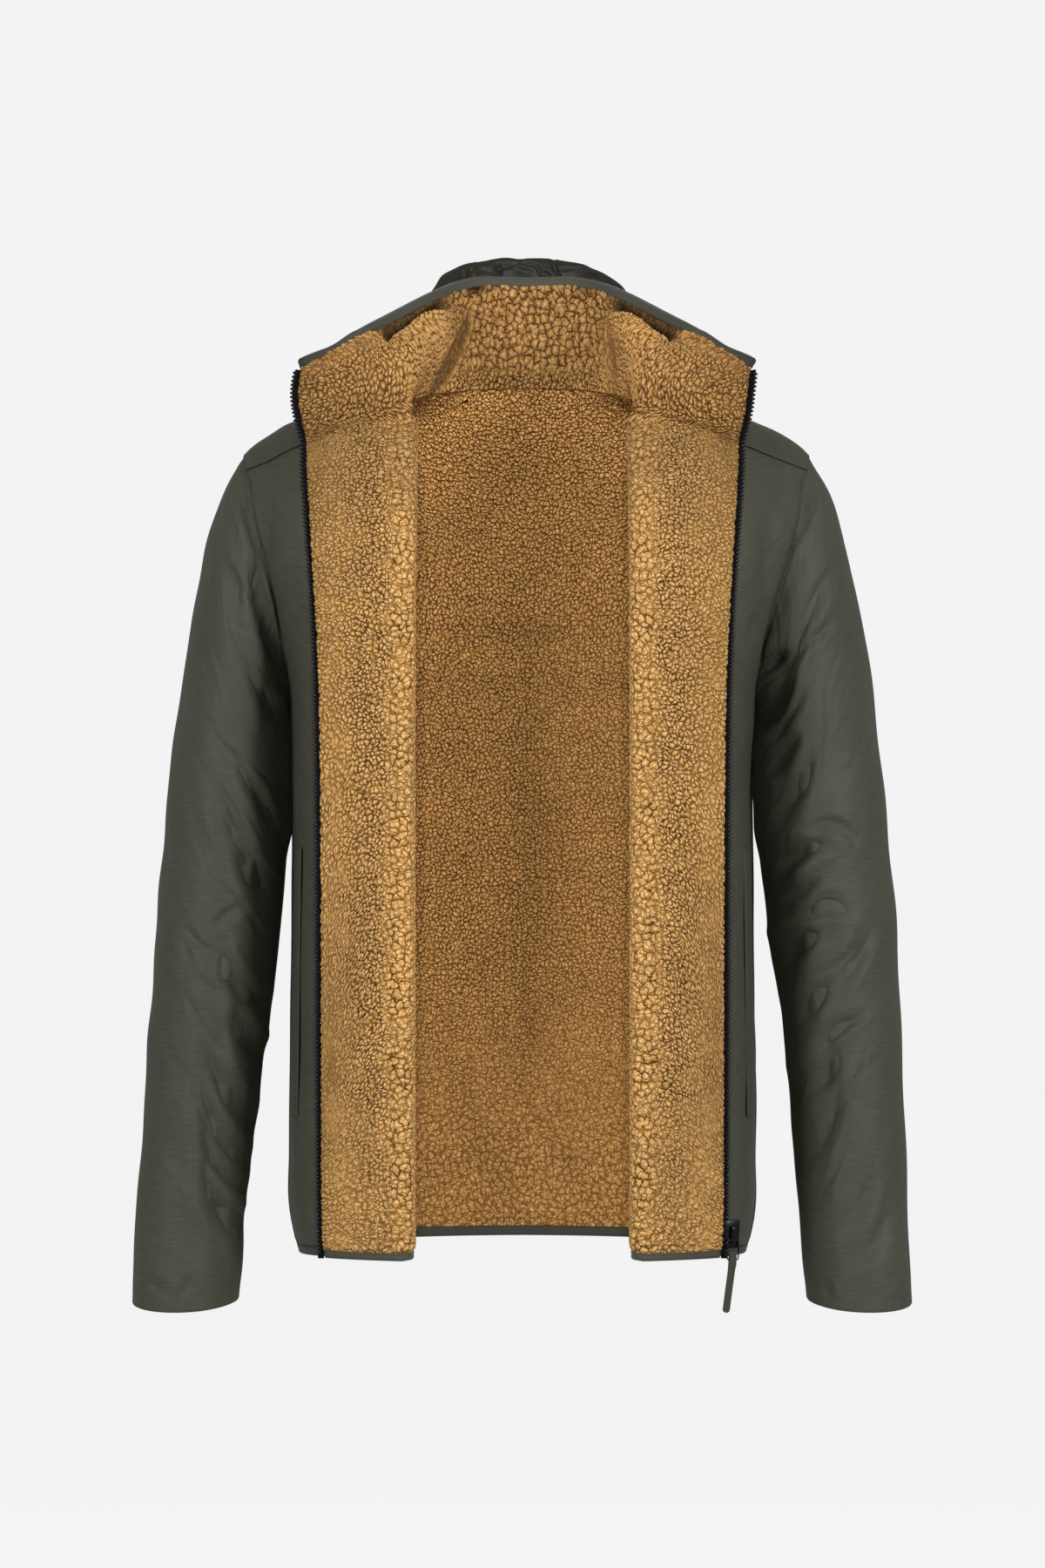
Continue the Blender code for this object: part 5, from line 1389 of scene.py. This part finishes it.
# %% Bindings
def frames_along(points, facing, within):
    """Directions at a row of edge points: away from the cloth and into its depth."""
    out = unit(np.cross(np.gradient(points, axis=0), facing))
    out *= np.sign(np.sum(out * (points - within), axis=-1, keepdims=True))
    return out, -facing


def bar(name, points, out, inward, section, material):
    """A bar along points, closed at both ends, with its section given outwards and into the depth in mm."""
    ring = np.array([*section, section[0]])
    grid = points[:, None] + out[:, None] * ring[:, :1] + inward[:, None] * ring[:, 1:]
    middle = grid[:, :-1].mean(axis=1, keepdims=True)
    ends = [middle[i] + (grid[i] - middle[i]) * share for i, share in ((0, 0.0), (0, 0.7), (-1, 0.7), (-1, 0.0))]
    grid = np.concatenate([ends[:2], grid, ends[2:]])
    return sheet_piece(name, [(grid, flat_places(grid), False, {})], material, 0.000002)


def binding_material():
    """Folded grosgrain tape: a little greyer and duller than the nylon, with fine cross ribs."""
    material, tree, shader = new_material("grosgrain_binding", "3E3E36", 0.75, Sheen_Weight=0.15)
    shader.inputs["Specular IOR Level"].default_value = 0.2
    flat = add(tree, "ShaderNodeUVMap", {"uv_map": "cut"})
    drawn = add(tree, VECTORS, TIMES, {0: flat, 1: (250.0, 1100.0, 1.0)})
    ribs = add(tree, NOISE, FLAT, {"Vector": drawn, "Scale": 1.0})
    bump = add(tree, BUMP, {}, {"Strength": 0.4, "Distance": 0.0003, "Height": ribs})
    tree.links.new(bump.outputs[0], shader.inputs["Normal"])
    return material


tape = binding_material()
# the folded tape, as (out from the edge, into the depth); it dips where it is stitched
EDGE_SECTION = (
    (-0.8, -0.9),
    (-0.8, 6.1),
    (0.9, 6.3),
    (2.4, 5.8),
    (3.2, 6.3),
    (4.9, 6.1),
    (6.3, 5.2),
    (6.9, 3.9),
    (7.0, 2.4),
    (6.7, 1.0),
    (5.9, -0.5),
    (4.8, -1.1),
    (3.2, -1.1),
    (2.4, -0.7),
    (0.9, -1.1),
)
HEM_EDGE_SECTION = tuple((across * 0.92 - 0.35, depth * 0.94) for across, depth in EDGE_SECTION)

edge_around = np.concatenate([-half_around[:0:-4], half_around[::4]])
edge_around[0], edge_around[-1] = -0.998, 0.998
edge = collar(edge_around, 1.0)
collar_edge_frames = frames_along(edge, collar_out(edge_around, 1.0), collar(edge_around, 0.95))
collar_binding = bar("collar_binding_tape", edge, *collar_edge_frames, EDGE_SECTION, tape)
replace_solids(collar_binding, "binding_tape", "collar_binding")

half_hem = back(evenly(lambda t: back(t, 0.0), 0.002, 1.0, 4.0), 0.0)
back_hem = np.concatenate([half_hem, mirrored(half_hem)[-2::-1]])
facing = body_facing(half_hem)
facing = np.concatenate([facing, mirrored(facing)[-2::-1]])
hem_frames = frames_along(back_hem, facing, back_hem + (0.0, 0.0, 10.0))
back_binding = bar("back_hem_tape", back_hem, *hem_frames, HEM_EDGE_SECTION, tape)
replace_solids(back_binding, "binding_tape", "back_hem_binding")

front_hem_across = np.append(np.insert(shell_across[1:-1], 0, 0.003), 0.992)
front_hem = front(front_hem_across, 0.0)
front_hem_facing = -square_to(front(*np.meshgrid(front_hem_across, np.array([0.0, 0.01]))))[0]
front_frames = frames_along(front_hem, front_hem_facing, front_hem + (0.0, 0.0, 10.0))
for name, side in (("left", 1), ("right", -1)):
    points, out, inward = (mirrored(v, side) for v in (front_hem, *front_frames))
    item = bar(f"{name}_hem_tape", points, out, inward, HEM_EDGE_SECTION, tape)
    replace_solids(item, "binding_tape", f"{name}_hem_binding")

# %% [markdown]
# The zip has moulded teeth: each is a block clamped on the tape's edge with a round head that locks between its
# neighbours' heads. One tooth is modelled from a cube and a low sphere, and an array of it is laid along the edge.

# %% Repeated pieces
def repeated(name, template, points, across, along, depth, material):
    """One object with a template at every point, turned by three directions; the template is a bmesh in mm."""
    mesh = bpy.data.meshes.new(name)
    template.to_mesh(mesh)
    template.free()
    local = np.zeros(len(mesh.vertices) * 3)
    mesh.vertices.foreach_get("co", local)
    local = local.reshape(-1, 3)
    item = dressed(name, mesh, material)
    array = item.modifiers.new("row", "ARRAY")
    array.count = len(points)
    array.use_relative_offset = False
    array.use_constant_offset = True
    array.constant_offset_displace = (0.01, 0.0, 0.0)
    applied(item)
    frames = np.stack([across, along, depth], axis=1)
    places = settled(points[:, None] + np.einsum("vk,nkc->nvc", local, frames))
    item.data.vertices.foreach_set("co", (places * MM).astype(np.float32).ravel())
    item.data.update()
    print(f"{name}: {len(points)} pieces, {triangles(item)} triangles")
    return item


def spaced(points, pitch, start, end):
    """Places along a row of points a pitch apart: which span of the row they are in and how far along it."""
    along = np.concatenate([[0.0], np.cumsum(np.linalg.norm(np.diff(points, axis=0), axis=1))])
    count = int((along[-1] - start - end) / pitch)
    return np.interp(start + pitch * (0.5 + np.arange(count)), along, np.arange(len(points)))


def read_row(values, places):
    return np.stack([np.interp(places, np.arange(len(values)), values[:, k]) for k in range(3)], axis=1)


# %% Zip
TOOTH_PITCH = 3.2
# the tape with its thicker edge, as (out from the edge, into the depth)
TAPE_SECTION = (
    (0.35, 2.05),
    (0.35, 3.15),
    (3.9, 3.2),
    (4.2, 3.6),
    (4.9, 3.6),
    (5.1, 2.6),
    (4.9, 1.6),
    (4.2, 1.6),
    (3.9, 2.0),
)
zip_plastic, _, shader = new_material("moulded_black_plastic", "1C1B21", 0.26)
shader.inputs["Specular IOR Level"].default_value = 0.55
zip_tape, _, shader = new_material("woven_black_zip_tape", "0B0B0D", 0.9)
shader.inputs["Specular IOR Level"].default_value = 0.2

zip_ups = np.linspace(0.0, 1.0, 90)
collar_ups = np.linspace(0.0, ZIP_TOP, 14)[1:]
line = np.concatenate([front(1.0, zip_ups), collar(1.0, collar_ups)])
within = np.concatenate([front(0.96, zip_ups), collar(0.96, collar_ups)])
upward = np.gradient(front(1.0, zip_ups), axis=0)
facing = -unit(np.cross(front(1.0, zip_ups) - front(0.985, zip_ups), upward))
facing = np.concatenate([facing, collar_out(np.full_like(collar_ups, 0.995), collar_ups)])
out, inward = frames_along(line, facing, within)
# the tape hangs 6.5 mm below the front's lower edge
line = np.insert(line, 0, line[0] - (0.0, 0.0, 6.5), axis=0)
out, inward = (np.insert(v, 0, v[0], axis=0) for v in (out, inward))


def tooth():
    """A block on the tape's edge with a round head; x leads away from the tape, y along it and z to the front."""
    work = bmesh.new()
    block = bmesh.ops.create_cube(work, size=1.0)["verts"]
    for vertex in block:
        x, y, z = vertex.co
        vertex.co = (4.75 + 2.3 * x, y * (1.5 if x < 0 else 1.15), z * (2.7 if x < 0 else 2.9))
    head = bmesh.ops.create_uvsphere(work, u_segments=8, v_segments=5, radius=1.0)["verts"]
    for vertex in head:
        x, y, z = vertex.co
        vertex.co = (5.3 + 1.5 * x, y, 1.95 * z)
    return work


for name, side in (("left", 1), ("right", -1)):
    points, outs, ins = (mirrored(v, side) for v in (line, out, inward))
    fabric = bar(f"{name}_zip_tape", points, outs, ins, TAPE_SECTION, zip_tape)
    # the teeth of one half stand beside the gaps of the other
    places = spaced(line, TOOTH_PITCH, 1.0, 1.5) + (0.0 if side > 0 else 0.35)
    at, across, depth = read_row(points, places), unit(read_row(outs, places)), unit(read_row(ins, places))
    ahead = unit(np.cross(depth, across))
    teeth = repeated(f"{name}_zip_teeth", tooth(), at + depth * 2.6, across, ahead, depth, zip_plastic)
    for item in (fabric, teeth):
        replace_solids(item, "zip_plastic", f"{name}_zip_half")

# %% [markdown]
# Metal and moulded parts keep the frame's solids, because they have to sit and turn exactly there. They only get
# their edges rounded off, which gives each one a thin line of light along its edges.

# %% Slider, link, pull and welts
# the thickness of the slider and of the pull's tape runs this way, square to the hinge's line
THROUGH = Vector((-0.3013, 0.9535, 0.0))
LOOP_PART = 0.004  # metres at the top of the pull's tape that are lifted to wrap the link


def rounded_copy(name, node, slot, material, body, width, subdivide=0, corner=0.0, loop=0.0):
    """A copy of a solid with its edges rounded; the solid's own triangles are joined back into flat faces first."""
    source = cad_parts[node]
    mesh = source.data.copy()
    mesh.name = name
    mesh.transform(source.matrix_world)
    work = bmesh.new()
    work.from_mesh(mesh)
    bmesh.ops.remove_doubles(work, verts=work.verts, dist=0.000001)
    if not subdivide:
        bmesh.ops.dissolve_limit(work, angle_limit=math.radians(1.0), verts=work.verts, edges=work.edges)
    if corner:
        ways = [(edge, (edge.verts[1].co - edge.verts[0].co).normalized()) for edge in work.edges]
        bmesh.ops.bevel(
            work,
            geom=[edge for edge, way in ways if abs(way @ THROUGH) > 0.95],
            offset=corner * MM,
            segments=5,
            profile=0.5,
            affect="EDGES",
            material=-1,
            clamp_overlap=True,
        )
    if loop:
        top = max(vertex.co.z for vertex in work.verts)
        for vertex in work.verts:
            if vertex.co.z > top - LOOP_PART:
                vertex.co.z += loop * MM
    work.to_mesh(mesh)
    work.free()
    item = dressed(name, mesh, material, body)
    if subdivide:
        smooth = item.modifiers.new("round", "SUBSURF")
        smooth.levels = smooth.render_levels = subdivide
    else:
        bevel = item.modifiers.new("rounding", "BEVEL")
        bevel.affect, bevel.segments, bevel.profile, bevel.material = "EDGES", 3, 0.5, -1
        bevel.width = width * MM
        bevel.limit_method, bevel.angle_limit = "ANGLE", math.radians(30.0)
    applied(item)
    replace_solids(item, slot, node)
    print(f"{name}: {triangles(item)} triangles")
    return item


slider_metal, _, shader = new_material("black_enamelled_metal", "060607", 0.14)
shader.inputs["Specular IOR Level"].default_value = 0.4
rounded_copy("slider_body", "zip_slider", "slider_metal", slider_metal, "jacket", 1.3, corner=4.2)
rounded_copy("slider_bridge", "zip_slider_bridge", "slider_metal", slider_metal, "jacket", 1.0)
rounded_copy("pull_link", "zip_pull_link", "slider_metal", slider_metal, "puller", 0.1, subdivide=2)
rounded_copy("pull_tape", "zip_pull_tab", "binding_tape", tape, "puller", 0.6, corner=2.3, loop=4.0)
for name in ("left", "right"):
    rounded_copy(f"{name}_welt", f"{name}_pocket_welt", "shell_nylon", nylon, "jacket", 0.4)

# %% [markdown]
# Stitches are small, but without them a seam reads as a crack. Each is a short bead of thread, sunk a little into
# the cloth, and rows of them follow the bindings, the armholes and the forward shoulder seams.

# %% Stitches
thread, _, shader = new_material("polyester_thread", "55554A", 0.6)
shader.inputs["Specular IOR Level"].default_value = 0.3


def stitch_row(name, points, normals, pitch=2.9, length=2.1, thickness=0.5):
    """Beads of thread along a row of points; their pitch, length and thickness are in mm."""
    work = bmesh.new()
    for vertex in bmesh.ops.create_uvsphere(work, u_segments=6, v_segments=4, radius=0.5)["verts"]:
        vertex.co = Vector((vertex.co.z * length, vertex.co.y * thickness, vertex.co.x * thickness))
    places = spaced(points, pitch, 1.5, 1.5)
    at, up = read_row(points, places), unit(read_row(normals, places))
    along = read_row(unit(np.gradient(points, axis=0)), places)
    side = unit(np.cross(up, along))
    return repeated(name, work, at, unit(np.cross(side, up)), side, up, thread)


def on_both_sides(name, points, normals, **size):
    for word, side in (("left", 1.0), ("right", -1.0)):
        stitch_row(f"{word}_{name}", mirrored(points, side), mirrored(normals, side), **size)


def in_the_dip(points, frames, dip):
    """The line of the stitches on a binding's section, and the way that they face."""
    out, inward = frames
    return points + out * dip[0] + inward * dip[1], inward


EDGE_DIP, HEM_DIP = (2.4, 5.9), (1.86, 5.5)
stitch_row("collar_binding_stitches", *in_the_dip(edge, collar_edge_frames, EDGE_DIP))
stitch_row("back_hem_stitches", *in_the_dip(back_hem, hem_frames, HEM_DIP))
on_both_sides("hem_stitches", *in_the_dip(front_hem, front_frames, HEM_DIP))

ups = np.linspace(ROW_ARMPIT + 0.01, ROW_SHOULDER - 0.002, 120)
seam = front(0.012, ups)
on_both_sides("armhole_stitches", seam, body_facing(seam))
ups = np.linspace(ROW_SHOULDER + 0.004, 0.995, 60)
seam = shoulder(0.93, ups)
on_both_sides("yoke_stitches", seam, body_facing(seam))

# thick short bars hold both ends of each pocket, on top of its welt
TACK_FROM, TACK_TO, TACK_LIFT = 0.075, 0.132, 1.7
for place in (POCKET_FROM, POCKET_TO):
    tack = front(np.linspace(TACK_FROM, TACK_TO, 12), place)
    facing = body_facing(tack)
    name = f"bar_tack_{int(place * 1000)}"
    on_both_sides(name, tack + facing * TACK_LIFT, facing, pitch=0.8, length=1.3, thickness=0.9)

# %% [markdown]
# ## Last step
#
# Every cloth was cut flat. At the end the view layer is brought up to date.

bpy.context.view_layer.update()
